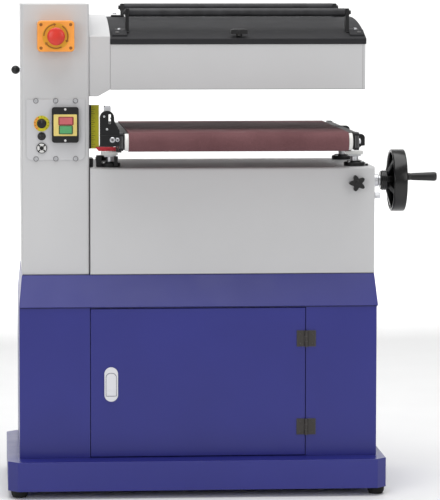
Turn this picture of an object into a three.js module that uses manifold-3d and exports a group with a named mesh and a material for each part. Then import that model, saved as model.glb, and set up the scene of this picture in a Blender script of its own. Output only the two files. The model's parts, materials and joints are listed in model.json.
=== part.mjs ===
// Open-ended drum sander on a cabinet stand, in millimetres.
// X runs to the operator's right, Y away from the operator and Z up.
// The origin is under the middle, on the floor.
import * as THREE from "three";
import { mergeVertices } from "three/addons/utils/BufferGeometryUtils.js";
import Module from "manifold-3d";

const wasm = await Module();
wasm.setup();

// ---- Driving dimensions ----

const GAP = 0.3; // between pieces that touch
const SHEET = 3; // sheet-metal thickness
const ROUND = 24; // sides of a round piece

const PLINTH = {
  left: -501.5, right: 361, front: -264, back: 207, bottom: 18, top: 85, chamfer: 22, lip: 62,
};
const FOOT = { x: [-475, 340], y: [-224, 167], topRadius: 20.5, bottomRadius: 16.5 };
const CABINET = { left: -474, right: 343, front: -205, back: 187, top: 430 };
const DOOR = { left: -312, right: 179, bottom: 87, top: 426.5, depth: 16, skin: 2, gap: 1.5 };
const HINGE = { x: 181, y: -209.5, pin: 2, barrel: 4.1, length: 37, leaf: 22, thick: 2, bottoms: [134, 337] };
const LATCH = { left: -281, right: -250, bottom: 214, top: 293, thick: 3 };
const PADDLE = { left: -277, right: -254, bottom: 227, top: 279, thick: 3, play: 0.8 };
const HOOD = { left: -474.5, right: 346, front: -208, top: 500 };
const HOOD_TOP = { left: -467.5, right: 342.7, front: -163 };
const BED = { left: -310.7, right: 342.5, front: -163, back: 165, top: 745, corner: 6 };
const COLUMN = { left: -466.6, right: -312.6, front: -158, back: 187, top: 1118, corner: 6 };
const ARM = { left: -312.3, right: -264, bottom: 908, cavity: 930, notchX: -292.7, notchZ: 924, rise: 5 };
const HEAD = { left: -263.7, right: 321, front: -151, back: 190, bottom: 923, top: 1026 };
// Height of the lid's crown at each station from front to back.
const CROWN = [[-151, 1040], [-56, 1063], [2, 1074], [66, 1082], [158, 1085], [187, 1085]];
const DRUM = { z: 985, radius: 62, left: -232, right: 273, shaft: 12.5, wrap: 1.5 };
const PULLEY = { left: -403, right: -373, floor: 40, flange: 48, cheek: 2.4 };
const MOTOR = { z: 610, radius: 70, flange: 80, left: -307.4, right: -50, shaft: 12 };
const PRESS_ROLLER = { y: 96, z: 934, radius: 12, stub: 4, left: -256, right: 314 };
const RETURN_ROLLER = { radius: 9.5, stub: 4, left: -218.7, right: 280.7 };
const RETURN_ROWS = { front: [-90, 1098], rear: [150, 1107] };
const BRACKET = { inner: 8, foot: 31, thick: 4, reach: 24 };
const DUST_PORT = { x: 30, z: 974, radius: 48, wall: 3, length: 60 };
const TABLE = { left: -250, right: 291, rail: 12, z: 809, end: 255.6, half: 21.4 };
// The pads that carry the table's rails on the posts: both ends of each pad, left and right.
const PAD = { ends: [[-283, -247], [280, 318]], bottom: 772.3, top: 779.3, half: 19 };
const PLATEN = { half: 225, thick: 7 };
const BELT = { left: -228, right: 269, thick: 1.5 };
const ROLLER = { radius: 19.5, stub: 6, left: -237, right: 278 };
const POST = { x: [-264, 301], y: 116, radius: 9, bottom: 600, plateBottom: 768, plate: 27 };
const FLANGE = { radius: 24.5, height: 12, bore: 9.4 };
const GEAR_MOTOR = {
  left: -291, right: -251, bottom: 801, top: 838, back: -200, motorBack: -156, radius: 18,
};
const SLOTTED = { left: -293, right: -260.7, foot: -248.7, front: -277, back: -266, top: 881 };
const SLOT = { left: -273.5, right: -268, bottom: 851.5, top: 873 };
const POINTER = { tip: -297, root: -250.3, front: -124, back: -121.5, bottom: 781.3, top: 790.8 };
const SCALE = { right: -289, front: -120, thick: 1.5, bottom: 787, top: 887 };
const WHEEL = { z: 702.5, radius: 73, rimInner: 66, rimLeft: 401, rimRight: 433 };
const HUB = { radius: 22.5, left: 377, shaft: 8, shaftLeft: 200 };
const CRANK = { y: -60, z: 715, end: 501.5, spindle: 4, base: 8.5, tip: 10.5 };
const STAR = { x: 300, z: 709, radius: 15, lobe: 4, lobes: 5, stud: 4 };
const BALL = { x: -478, z: 964, radius: 10.3, stem: 3 };
const CATCH = { x: 31, y: -142, half: 14, depth: 8, bottom: 1050, top: 1061, foot: 1044.5 };
const PLATE = { left: -456, right: -322, bottom: 763.5, top: 901.5, thick: 2.5, corner: 12 };
const SWITCH = { left: -398, right: -337, bottom: 803.5, top: 884.5, depth: 11, corner: 6 };
const STOP = { left: -381, right: -351, bottom: 845, top: 861 };
const START = { left: -380, right: -352.5, bottom: 824.5, top: 841.5 };
const PUSH = { depth: 6, proud: 2, play: 0.6, pocket: 6.2 };
const DIAL = { x: -421, z: 847, radius: 10, depth: 15 };
const RESET = { z: 818, radius: 7.4, depth: 5, travel: 2.2 };
const SOCKET = { z: 791, radius: 12, bore: 8, depth: 5 };
const ESTOP = { left: -431, right: -347, bottom: 1011, top: 1081, depth: 45, corner: 8 };
const MUSHROOM = { radius: 20, stem: 10, height: 16, travel: 9, sunk: 7 };

// ---- Finishes ----

const finish = (color, roughness, metalness) =>
  new THREE.MeshStandardMaterial({ color, roughness, metalness });
const FINISH = {
  bluePaint: finish(0x3f4180, 0.45, 0.1),
  greyPaint: finish(0xbdbdbf, 0.45, 0.1),
  charcoal: finish(0x45464a, 0.5, 0.1),
  blackPlastic: finish(0x1d1d1f, 0.5, 0),
  rubber: finish(0x161616, 0.9, 0),
  steel: finish(0xb8babd, 0.35, 0.9),
  castIron: finish(0x6a6c70, 0.6, 0.6),
  hinge: finish(0x37332f, 0.5, 0.6),
  abrasive: finish(0x6e4548, 0.95, 0),
  yellow: finish(0xe89a3c, 0.4, 0),
  scale: finish(0xc2bc33, 0.5, 0),
  red: finish(0xd8402f, 0.35, 0),
  green: finish(0x3f9e5e, 0.35, 0),
};

// ---- Solids ----

// A closed geometry as a solid that can be cut and joined.
function solidOf(geometry) {
  const bare = geometry.clone();
  bare.deleteAttribute("normal");
  bare.deleteAttribute("uv");
  const merged = mergeVertices(bare, 1e-4);
  const vertProperties = new Float32Array(merged.getAttribute("position").array);
  const triVerts = new Uint32Array(merged.getIndex().array);
  return new wasm.Manifold(new wasm.Mesh({ numProp: 3, vertProperties, triVerts }));
}

function geometryOf(solid) {
  const { vertProperties, triVerts } = solid.getMesh();
  const geometry = new THREE.BufferGeometry();
  geometry.setAttribute("position", new THREE.BufferAttribute(vertProperties, 3));
  geometry.setIndex(new THREE.BufferAttribute(triVerts, 1));
  geometry.computeVertexNormals();
  return geometry;
}

const cut = (body, ...tools) =>
  geometryOf(tools.reduce((left, tool) => left.subtract(solidOf(tool)), solidOf(body)));

const join = (body, ...others) =>
  geometryOf(others.reduce((sum, other) => sum.add(solidOf(other)), solidOf(body)));

function box(x0, x1, y0, y1, z0, z1) {
  const geometry = new THREE.BoxGeometry(x1 - x0, y1 - y0, z1 - z0);
  return geometry.translate((x0 + x1) / 2, (y0 + y1) / 2, (z0 + z1) / 2);
}

// Which way a profile's first, second and extruded directions point in the part's frame.
const AXES = {
  x: new THREE.Matrix4().set(0, 0, 1, 0, 1, 0, 0, 0, 0, 1, 0, 0, 0, 0, 0, 1),
  y: new THREE.Matrix4().set(1, 0, 0, 0, 0, 0, -1, 0, 0, 1, 0, 0, 0, 0, 0, 1),
  z: new THREE.Matrix4(),
};

// A profile in (Y, Z), (X, Z) or (X, Y), extruded along X, Y or Z from one station to the next.
function prism(shape, axis, from, to, curveSegments = 6) {
  const geometry = new THREE.ExtrudeGeometry(shape, { depth: to - from, bevelEnabled: false, curveSegments });
  geometry.translate(0, 0, axis === "y" ? -to : from);
  return geometry.applyMatrix4(AXES[axis]);
}

const polygon = (points) => new THREE.Shape(points.map(([u, v]) => new THREE.Vector2(u, v)));

// A rectangle whose four corners, from lower left round to upper left, have their own radii.
function roundedRect(u0, u1, v0, v1, [lowLeft, lowRight, highRight, highLeft]) {
  const shape = new THREE.Shape();
  const quarter = Math.PI / 2;
  const corners = [
    [u0, v0, 1, 1, lowLeft, 2 * quarter],
    [u1, v0, -1, 1, lowRight, 3 * quarter],
    [u1, v1, -1, -1, highRight, 0],
    [u0, v1, 1, -1, highLeft, quarter],
  ];
  corners.forEach(([u, v, du, dv, radius, start], i) => {
    if (radius > 0) {
      shape.absarc(u + du * radius, v + dv * radius, radius, start, start + quarter, false);
      return;
    }
    if (i === 0) shape.moveTo(u, v);
    else shape.lineTo(u, v);
  });
  return shape;
}

// A body of revolution about an axis through (a, b), from points given as [radius, station].
function turned(points, axis, a, b, segments = ROUND) {
  const geometry = new THREE.LatheGeometry(points.map(([r, s]) => new THREE.Vector2(r, s)), segments);
  if (axis === "x") return geometry.rotateZ(-Math.PI / 2).translate(0, a, b);
  if (axis === "y") return geometry.translate(a, 0, b);
  return geometry.rotateX(Math.PI / 2).translate(a, b, 0);
}

const rod = (radius, from, to, axis, a, b, segments = ROUND) =>
  turned([[0, from], [radius, from], [radius, to], [0, to]], axis, a, b, segments);

const ring = (outer, inner, from, to, axis, a, b, segments = ROUND) =>
  turned([[inner, from], [outer, from], [outer, to], [inner, to], [inner, from]], axis, a, b, segments);

// A solid between two level rectangles, given as [left, right, front, back, height].
function frustum(low, high) {
  const corners = [low, high].flatMap(([left, right, front, back, z]) => [
    [left, front, z], [right, front, z], [right, back, z], [left, back, z],
  ]);
  const faces = [[3, 2, 1, 0], [4, 5, 6, 7], [0, 1, 5, 4], [1, 2, 6, 5], [2, 3, 7, 6], [3, 0, 4, 7]];
  const positions = faces.flatMap(([a, b, c, d]) => [a, b, c, a, c, d].flatMap((i) => corners[i]));
  const geometry = new THREE.BufferGeometry();
  geometry.setAttribute("position", new THREE.Float32BufferAttribute(positions, 3));
  return geometry;
}

function piece(name, geometry, material, [x, y, z] = [0, 0, 0]) {
  const mesh = new THREE.Mesh(geometry, material);
  mesh.name = name;
  mesh.position.set(x, y, z);
  return mesh;
}

function assembly(...pieces) {
  const group = new THREE.Group();
  group.add(...pieces.flat());
  return group;
}

// ---- Stand: plinth, feet, cabinet and hood ----

function plinth() {
  const p = PLINTH;
  const c = p.chamfer;
  const outline = polygon([
    [p.left + c, p.front], [p.right - c, p.front], [p.right, p.front + c], [p.right, p.back - c],
    [p.right - c, p.back], [p.left + c, p.back], [p.left, p.back - c], [p.left, p.front + c],
  ]);
  const tray = prism(outline, "z", p.bottom, p.top);
  const floor = p.bottom + SHEET;
  const inside = box(p.left + c, p.right - c, p.front + c, p.back - c, floor, p.top - SHEET);
  const mouth = box(
    p.left + p.lip, p.right - p.lip, p.front + p.lip, p.back - p.lip, p.bottom - 1, floor + 1,
  );
  return piece("plinth", cut(tray, inside, mouth), FINISH.bluePaint);
}

function feet() {
  const top = PLINTH.bottom - GAP;
  const profile = [[0, 0], [FOOT.bottomRadius, 0], [FOOT.topRadius, top], [0, top]];
  const sides = ["left", "right"];
  const rows = ["front", "rear"];
  return rows.flatMap((row, j) => sides.map((side, i) =>
    piece(`foot_${row}_${side}`, turned(profile, "z", 0, 0), FINISH.rubber, [FOOT.x[i], FOOT.y[j], 0])));
}

function cabinetShell() {
  const c = CABINET;
  const bottom = PLINTH.top + GAP;
  const shell = box(c.left, c.right, c.front, c.back, bottom, c.top);
  const inside = box(c.left + SHEET, c.right - SHEET, c.front + SHEET, c.back - SHEET, bottom - 1, c.top + 1);
  const { left, right, bottom: sill, top: lintel, gap } = DOOR;
  const doorway = box(left - gap, right + gap, c.front - 1, c.front + SHEET + 1, sill - gap, lintel + gap);
  return piece("cabinet_shell", cut(shell, inside, doorway), FINISH.bluePaint);
}

function cabinetHood() {
  const h = HOOD;
  const t = HOOD_TOP;
  const back = CABINET.back;
  const bottom = CABINET.top + GAP;
  const s = SHEET;
  const skin = frustum([h.left, h.right, h.front, back, bottom], [t.left, t.right, t.front, back, h.top]);
  const inside = frustum(
    [h.left + s, h.right - s, h.front + s, back - s, bottom - 1],
    [t.left + s, t.right - s, t.front + s, back - s, h.top - s],
  );
  const passage = box(BED.left - 130, BED.right - 23, BED.front + 23, BED.back, h.top - s - 1, h.top + 1);
  return piece("cabinet_hood", cut(skin, inside, passage), FINISH.bluePaint);
}

function hingePlate(name, bottom) {
  const { x, y, length, leaf, thick } = HINGE;
  const knuckle = length / 3;
  const front = CABINET.front - GAP;
  const plate = box(x + HINGE.barrel - 1, x + leaf, front - thick, front, bottom, bottom + length);
  const web = box(x, x + HINGE.barrel, front - thick, front, bottom, bottom + knuckle);
  const topWeb = box(x, x + HINGE.barrel, front - thick, front, bottom + 2 * knuckle, bottom + length);
  const low = rod(HINGE.barrel, bottom, bottom + knuckle, "z", x, y, 20);
  const high = rod(HINGE.barrel, bottom + 2 * knuckle, bottom + length, "z", x, y, 20);
  const pin = rod(HINGE.pin, bottom, bottom + length, "z", x, y, 16);
  return piece(name, join(plate, web, topWeb, low, high, pin), FINISH.hinge);
}

// ---- Door and its latch ----

function cabinetDoor() {
  const d = DOOR;
  const front = CABINET.front;
  const pan = box(d.left, d.right, front, front + d.depth, d.bottom, d.top);
  const hollow = box(
    d.left + d.skin, d.right - d.skin, front + d.skin, front + d.depth + 1, d.bottom + d.skin, d.top - d.skin,
  );
  return piece("cabinet_door", cut(pan, hollow), FINISH.bluePaint);
}

function latchPlate() {
  const half = (LATCH.right - LATCH.left) / 2;
  const outline = roundedRect(LATCH.left, LATCH.right, LATCH.bottom, LATCH.top, [half, half, half, half]);
  const back = CABINET.front - GAP;
  const plate = prism(outline, "y", back - LATCH.thick, back, 8);
  const play = PADDLE.play;
  const window = box(
    PADDLE.left - play, PADDLE.right + play, back - LATCH.thick - 1, back + 1,
    PADDLE.bottom - play, PADDLE.top + play,
  );
  return piece("latch_plate", cut(plate, window), FINISH.steel);
}

function latchPaddle() {
  const back = CABINET.front - 1;
  const paddle = box(PADDLE.left, PADDLE.right, back - PADDLE.thick, back, PADDLE.bottom, PADDLE.top);
  return piece("latch_paddle", paddle, FINISH.steel);
}

// ---- Bed, column and head ----

function bedCasing() {
  const b = BED;
  const bottom = HOOD.top + GAP;
  const outline = roundedRect(b.front, b.back, bottom, b.top, [0, 0, b.corner, b.corner]);
  const casing = prism(outline, "x", b.left, b.right);
  const inside = box(
    b.left + SHEET, b.right - SHEET, b.front + SHEET, b.back - SHEET, bottom - 1, b.top - SHEET,
  );
  const postHoles = POST.x.flatMap((x) =>
    [-POST.y, POST.y].map((y) => rod(POST.radius + 3, b.top - SHEET - 1, b.top + 1, "z", x, y, 20)));
  const motorHole = rod(MOTOR.shaft + 4, b.left - 1, b.left + SHEET + 1, "x", 0, MOTOR.z, 20);
  const wheelHole = rod(HUB.shaft + 2, b.right - SHEET - 1, b.right + 1, "x", 0, WHEEL.z, 20);
  const starHole = rod(STAR.stud + 0.6, b.front - 1, b.front + SHEET + 1, "y", STAR.x, STAR.z, 16);
  const holes = [...postHoles, motorHole, wheelHole, starHole];
  return piece("bed_casing", cut(casing, inside, ...holes), FINISH.greyPaint);
}

function column() {
  const c = COLUMN;
  const bottom = HOOD.top + GAP;
  const r = c.corner;
  const casing = prism(roundedRect(c.left, c.right, c.front, c.back, [r, r, r, r]), "z", bottom, c.top, 3);
  const inside = box(
    c.left + SHEET, c.right - SHEET, c.front + SHEET, c.back - SHEET, bottom - 1, c.top - SHEET,
  );
  const motorHole = rod(MOTOR.shaft + 4, c.right - SHEET - 1, c.right + 1, "x", 0, MOTOR.z, 20);
  const drumHole = rod(DRUM.shaft + 8, c.right - SHEET - 1, c.right + 1, "x", 0, DRUM.z, 20);
  const ballHole = rod(BALL.stem + 0.6, c.left - 1, c.left + SHEET + 1, "x", 0, BALL.z, 16);
  return piece("column", cut(casing, inside, motorHole, drumHole, ballHole), FINISH.greyPaint);
}

// The crowned outline of the arm and the lid, raised or lowered as a whole.
function crowned(front, back, bottom, rise) {
  const crown = CROWN.map(([y, z]) => [Math.min(Math.max(y, front), back), z + rise]);
  return polygon([[front, bottom], ...crown, [back, bottom]]);
}

function headArm() {
  const a = ARM;
  const wall = 4;
  const back = COLUMN.back;
  const casting = prism(crowned(HEAD.front, back, a.bottom, a.rise), "x", a.left, a.right);
  const inside = prism(
    crowned(HEAD.front + wall, back - wall, a.cavity, a.rise - wall), "x", a.left - 1, a.right + 1,
  );
  const under = a.bottom - 1;
  const corner = polygon([
    [a.notchX, under], [a.right + 1, under], [a.right + 1, a.notchZ], [a.notchX, a.bottom],
  ]);
  const notch = prism(corner, "y", HEAD.front - 1, back + 1);
  return piece("head_arm", cut(casting, inside, notch), FINISH.greyPaint);
}

function headHousing() {
  const h = HEAD;
  const shell = box(h.left, h.right, h.front, h.back, h.bottom, h.top);
  const inside = box(
    h.left + SHEET, h.right - SHEET, h.front + SHEET, h.back - SHEET, h.bottom - 1, h.top + 1,
  );
  const bearing = rod(24, h.right - 25, h.right - 1, "x", 0, DRUM.z, 24);
  const bore = rod(DRUM.shaft + 0.4, h.right - 26, h.right - SHEET, "x", 0, DRUM.z);
  const shaftHole = rod(DRUM.shaft + 6, h.left - 1, h.left + SHEET + 1, "x", 0, DRUM.z, 24);
  const stubHoles = [-PRESS_ROLLER.y, PRESS_ROLLER.y].map((y) =>
    rod(PRESS_ROLLER.stub + 0.5, h.left - 1, h.right + 1, "x", y, PRESS_ROLLER.z, 16));
  const duct = DUST_PORT.radius - DUST_PORT.wall;
  const dustHole = rod(duct, h.back - SHEET - 1, h.back + 1, "y", DUST_PORT.x, DUST_PORT.z);
  const hollow = cut(shell, inside);
  const withBearing = join(hollow, bearing);
  return piece("head_housing", cut(withBearing, bore, shaftHole, ...stubHoles, dustHole), FINISH.greyPaint);
}

function headLid() {
  const lip = 2;
  const bottom = HEAD.top + GAP;
  const right = HEAD.right + lip;
  const skin = prism(crowned(HEAD.front, HEAD.back, bottom, 0), "x", HEAD.left, right);
  const flange = box(HEAD.left, right, HEAD.front - lip, HEAD.front + 1, bottom, CROWN[0][1]);
  const inside = prism(
    crowned(HEAD.front + SHEET, HEAD.back - SHEET, bottom - 1, -SHEET), "x", HEAD.left + SHEET, right - SHEET,
  );
  return piece("head_lid", cut(join(skin, flange), inside), FINISH.charcoal);
}

// Height of the lid's surface at a station between front and back.
function crownAt(y) {
  const i = Math.max(1, CROWN.findIndex(([station]) => station >= y));
  const [y0, z0] = CROWN[i - 1];
  const [y1, z1] = CROWN[i];
  return z0 + ((z1 - z0) * (y - y0)) / (y1 - y0);
}

// A foot on the lid with a cheek that carries one end of a return roller.
function rollerBracket(name, [y, z], side) {
  const { inner, foot, thick, reach } = BRACKET;
  const face = side < 0 ? RETURN_ROLLER.left - GAP : RETURN_ROLLER.right + GAP;
  const span = (from, to) => (side < 0 ? [face - to, face - from] : [face + from, face + to]);
  const front = y - reach;
  const back = y + reach / 3;
  const lift = 0.5;
  const lowFront = crownAt(front) + lift;
  const lowBack = crownAt(back) + lift;
  const sole = polygon([
    [front, lowFront], [back, lowBack], [back, lowBack + thick], [front, lowFront + thick],
  ]);
  const cheek = polygon([[front + 6, lowFront + 1.5], [back, lowBack], [y + 8, z + 9], [y - 8, z + 9]]);
  const body = join(prism(sole, "x", ...span(0, foot)), prism(cheek, "x", ...span(0, inner)));
  const hole = rod(RETURN_ROLLER.stub + 0.5, ...span(-1, inner + 1), "x", y, z, 16);
  return piece(name, cut(body, hole), FINISH.blackPlastic);
}

function rollerBrackets() {
  const sides = [["left", -1], ["right", 1]];
  return Object.entries(RETURN_ROWS).flatMap(([row, place]) =>
    sides.map(([side, sign]) => rollerBracket(`roller_bracket_${row}_${side}`, place, sign)));
}

function returnRoller(row) {
  const { left, right } = RETURN_ROLLER;
  const tail = BRACKET.inner + 5;
  const profile = rollerProfile(RETURN_ROLLER, left - tail, right + tail);
  const roller = turned(profile, "x", 0, 0);
  return piece(`return_roller_${row}`, roller, FINISH.blackPlastic, [0, ...RETURN_ROWS[row]]);
}

function lidCatch() {
  const c = CATCH;
  const grip = box(c.x - c.half, c.x + c.half, c.y - c.depth, c.y + c.depth, c.bottom, c.top);
  const stem = rod(c.depth - 1, c.foot, c.bottom + 1, "z", c.x, c.y, 20);
  return piece("lid_catch", join(grip, stem), FINISH.blackPlastic);
}

function dustPort() {
  const { x, z, radius, wall, length } = DUST_PORT;
  const start = HEAD.back + GAP;
  const tube = ring(radius, radius - wall, start, start + length, "y", 0, 0);
  return piece("dust_port", tube, FINISH.blackPlastic, [x, 0, z]);
}

// ---- Sanding drum and its drive ----

// Half of a grooved pulley's outline, from its left cheek to its right one.
const pulleyProfile = () => [
  [PULLEY.flange, PULLEY.left], [PULLEY.flange, PULLEY.left + PULLEY.cheek],
  [PULLEY.floor, PULLEY.left + PULLEY.cheek], [PULLEY.floor, PULLEY.right - PULLEY.cheek],
  [PULLEY.flange, PULLEY.right - PULLEY.cheek], [PULLEY.flange, PULLEY.right],
];

function sandingDrum() {
  const { shaft, left, right, radius } = DRUM;
  const end = HEAD.right - SHEET - 1.5;
  const profile = [
    [0, PULLEY.left], ...pulleyProfile(), [shaft, PULLEY.right], [shaft, left],
    [radius, left], [radius, right], [shaft, right], [shaft, end], [0, end],
  ];
  return piece("sanding_drum", turned(profile, "x", 0, 0), FINISH.castIron, [0, 0, DRUM.z]);
}

function abrasiveWrap() {
  const inner = DRUM.radius + GAP;
  const sleeve = ring(inner + DRUM.wrap, inner, DRUM.left + 1, DRUM.right - 1, "x", 0, 0);
  return piece("abrasive_wrap", sleeve, FINISH.abrasive, [0, 0, DRUM.z]);
}

function motorPulley() {
  const { shaft } = MOTOR;
  const end = MOTOR.left + 20;
  const profile = [[0, PULLEY.left], ...pulleyProfile(), [shaft, PULLEY.right], [shaft, end], [0, end]];
  return piece("motor_pulley", turned(profile, "x", 0, 0), FINISH.castIron, [0, 0, MOTOR.z]);
}

function driveMotor() {
  const m = MOTOR;
  const flangeEnd = m.left + 8;
  const profile = [
    [0, m.left], [m.flange, m.left], [m.flange, flangeEnd],
    [m.radius, flangeEnd], [m.radius, m.right], [0, m.right],
  ];
  const bore = rod(m.shaft + 0.5, m.left - 1, m.left + 22, "x", 0, 0);
  return piece("drive_motor", cut(turned(profile, "x", 0, 0), bore), FINISH.castIron, [0, 0, m.z]);
}

// The outline of a belt round two equal circles, in the plane that holds their centres.
function beltLoop(radius, low, high) {
  const shape = new THREE.Shape();
  shape.absarc(low[0], low[1], radius, Math.PI, 2 * Math.PI, false);
  shape.absarc(high[0], high[1], radius, 0, Math.PI, false);
  return shape;
}

function driveBelt() {
  const thick = 5;
  const inner = PULLEY.floor + GAP;
  const low = [0, MOTOR.z];
  const high = [0, DRUM.z];
  const left = PULLEY.left + PULLEY.cheek + 2 * GAP;
  const right = PULLEY.right - PULLEY.cheek - 2 * GAP;
  const outside = prism(beltLoop(inner + thick, low, high), "x", left, right, 10);
  const inside = prism(beltLoop(inner, low, high), "x", left - 1, right + 1, 16);
  return piece("drive_belt", cut(outside, inside), FINISH.rubber);
}

// Half the outline of a roller with a thin stub at each end.
const rollerProfile = ({ radius, stub, left, right }, from, to) => [
  [0, from], [stub, from], [stub, left], [radius, left], [radius, right], [stub, right], [stub, to], [0, to],
];

function pressureRoller(row, y) {
  const profile = rollerProfile(PRESS_ROLLER, HEAD.left + 1, HEAD.right - 1);
  return piece(`pressure_roller_${row}`, turned(profile, "x", 0, 0), FINISH.rubber, [0, y, PRESS_ROLLER.z]);
}

// ---- Conveyor table, which rises and falls on four posts ----

function conveyorTable() {
  const t = TABLE;
  const { ends, bottom, top: padTop, half } = PAD;
  const top = t.z + t.half - BELT.thick - 0.5;
  const railEnd = t.end + 7;
  const railHalf = 17;
  const platen = box(t.left, t.right, -PLATEN.half, PLATEN.half, top - PLATEN.thick, top);
  const railLefts = [t.left, t.right - t.rail];
  const rails = railLefts.map((x) => box(x, x + t.rail, -railEnd, railEnd, t.z - railHalf, t.z + railHalf));
  const pads = [-POST.y, POST.y].flatMap((y) => [
    ...ends.map(([from, to]) => box(from, to, y - half, y + half, bottom, padTop)),
    ...railLefts.map((x) => box(x, x + t.rail, y - half, y + half, padTop - 1, t.z)),
  ]);
  const bores = [-t.end, t.end].map((y) => rod(ROLLER.stub + 0.5, t.left - 1, t.right + 1, "x", y, t.z, 20));
  return piece("conveyor_table", cut(join(platen, ...rails, ...pads), ...bores), FINISH.castIron);
}

function conveyorRoller(name, y) {
  const profile = rollerProfile(ROLLER, TABLE.left + 1, TABLE.right - 1);
  return piece(name, turned(profile, "x", 0, 0), FINISH.steel, [0, y, TABLE.z]);
}

// The belt's outline round both rollers, grown or shrunk by its radius.
function conveyorLoop(radius) {
  const shape = new THREE.Shape();
  shape.absarc(TABLE.end, TABLE.z, radius, -Math.PI / 2, Math.PI / 2, false);
  shape.absarc(-TABLE.end, TABLE.z, radius, Math.PI / 2, (3 * Math.PI) / 2, false);
  return shape;
}

function conveyorBelt() {
  const outside = prism(conveyorLoop(TABLE.half), "x", BELT.left, BELT.right, 12);
  const inside = prism(conveyorLoop(TABLE.half - BELT.thick), "x", BELT.left - 1, BELT.right + 1, 12);
  return piece("conveyor_belt", cut(outside, inside), FINISH.abrasive);
}

// A slotted bracket plate in front, with the gearbox and motor that turn the front roller behind it.
function gearMotor() {
  const g = GEAR_MOTOR;
  const p = SLOTTED;
  const middle = (p.left + p.right) / 2;
  const radius = (p.right - p.left) / 2;
  const outline = new THREE.Shape();
  outline.moveTo(p.left, g.bottom);
  outline.lineTo(p.foot, g.bottom);
  outline.lineTo(p.foot, g.top - 2);
  outline.lineTo(p.right, g.top + 20);
  outline.absarc(middle, p.top - radius, radius, 0, Math.PI, false);
  const plate = prism(outline, "y", p.front, p.back, 10);
  const gearbox = box(g.left + 1, g.right, p.back - 1, g.back, g.bottom, g.top);
  const motor = rod(g.radius, g.back - 1, g.motorBack, "y", (g.left + g.right) / 2, (g.bottom + g.top) / 2);
  const slot = box(SLOT.left, SLOT.right, p.front - 1, p.back + 1, SLOT.bottom, SLOT.top);
  const clamp = box(middle - 7, middle + 7, p.front + 2, p.back - 2, p.top - 3, p.top + 11);
  return piece("gear_motor", cut(join(plate, gearbox, motor, clamp), slot), FINISH.blackPlastic);
}

function heightPointer() {
  const p = POINTER;
  const arrow = polygon([
    [p.tip, p.top - 1], [p.tip + 7, p.bottom], [p.root, p.bottom], [p.root, p.top], [p.tip, p.top],
  ]);
  return piece("height_pointer", prism(arrow, "y", p.front, p.back), FINISH.red);
}

function liftPosts() {
  const { x: columns, y, radius, bottom, plateBottom, plate } = POST;
  const half = plate / 2;
  const top = PAD.bottom - GAP;
  return columns.flatMap((x, i) => [-y, y].map((row, j) => {
    const screw = rod(radius, bottom, plateBottom + 1, "z", 0, 0, 24);
    const cap = box(-half, half, -half, half, plateBottom, top);
    const name = `lift_post_${["left", "right"][i]}_${["front", "rear"][j]}`;
    return piece(name, join(screw, cap), FINISH.steel, [x, row, 0]);
  }));
}

function liftFlanges() {
  const bottom = BED.top + GAP;
  return POST.x.flatMap((x, i) => [-POST.y, POST.y].map((y, j) => {
    const name = `lift_flange_${["left", "right"][i]}_${["front", "rear"][j]}`;
    const flange = ring(FLANGE.radius, FLANGE.bore, bottom, bottom + FLANGE.height, "z", 0, 0);
    return piece(name, flange, FINISH.blackPlastic, [x, y, 0]);
  }));
}

// ---- Hand controls on the machine's sides ----

function handwheel() {
  const w = WHEEL;
  const h = HUB;
  const webLeft = w.rimRight - 12;
  const webRight = webLeft + 6;
  const round = 3;
  const profile = [
    [0, h.shaftLeft], [h.shaft, h.shaftLeft], [h.shaft, h.left], [h.radius, h.left], [h.radius, webLeft],
    [w.rimInner, webLeft], [w.rimInner, w.rimLeft + round], [w.rimInner + round, w.rimLeft],
    [w.radius - round, w.rimLeft], [w.radius, w.rimLeft + round], [w.radius, w.rimRight - round],
    [w.radius - round, w.rimRight], [w.rimInner, w.rimRight], [w.rimInner - round, webRight],
    [h.radius, webRight], [h.radius - 2, w.rimRight - 2], [0, w.rimRight - 2],
  ];
  const hole = rod(CRANK.spindle + 0.4, webLeft - 1, w.rimRight, "x", CRANK.y, CRANK.z - w.z, 16);
  return piece("handwheel", cut(turned(profile, "x", 0, 0, 32), hole), FINISH.blackPlastic, [0, 0, w.z]);
}

function crankHandle() {
  const { end, spindle, base, tip, y, z } = CRANK;
  const start = WHEEL.rimRight + GAP;
  const profile = [[0, start - 10], [spindle, start - 10], [spindle, start], [base, start], [base, start + 6],
    [tip, end - 8], [tip, end - 2], [tip - 2, end], [0, end]];
  return piece("crank_handle", turned(profile, "x", 0, 0, 20), FINISH.blackPlastic, [0, y, z]);
}

function starKnob() {
  const { radius, lobe, lobes, stud } = STAR;
  const steps = lobes * 8;
  const outline = Array.from({ length: steps }, (_, i) => {
    const angle = (2 * Math.PI * i) / steps;
    const reach = radius + lobe * Math.cos(lobes * (angle - Math.PI));
    return [reach * Math.cos(angle), reach * Math.sin(angle)];
  });
  const neckBack = BED.front - GAP;
  const lobed = prism(polygon(outline), "y", neckBack - 25, neckBack - 9);
  const neck = rod(9, neckBack - 10, neckBack, "y", 0, 0, 20);
  const screw = rod(stud, neckBack - 1, neckBack + 14, "y", 0, 0, 16);
  return piece("star_knob", join(lobed, neck, screw), FINISH.blackPlastic, [STAR.x, 0, STAR.z]);
}

function sideKnob() {
  const ball = new THREE.SphereGeometry(BALL.radius, 14, 10).translate(BALL.x, 0, BALL.z);
  const stem = rod(BALL.stem, BALL.x, COLUMN.left + 8, "x", 0, BALL.z, 12);
  return piece("side_knob", join(ball, stem), FINISH.blackPlastic);
}

function heightScale() {
  const s = SCALE;
  const strip = box(COLUMN.right + GAP, s.right, s.front, s.front + s.thick, s.bottom, s.top);
  return piece("height_scale", strip, FINISH.scale);
}

// ---- Control panel on the column ----

const PANEL_BACK = COLUMN.front - GAP;
const PANEL_FACE = PANEL_BACK - PLATE.thick - GAP;

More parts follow.
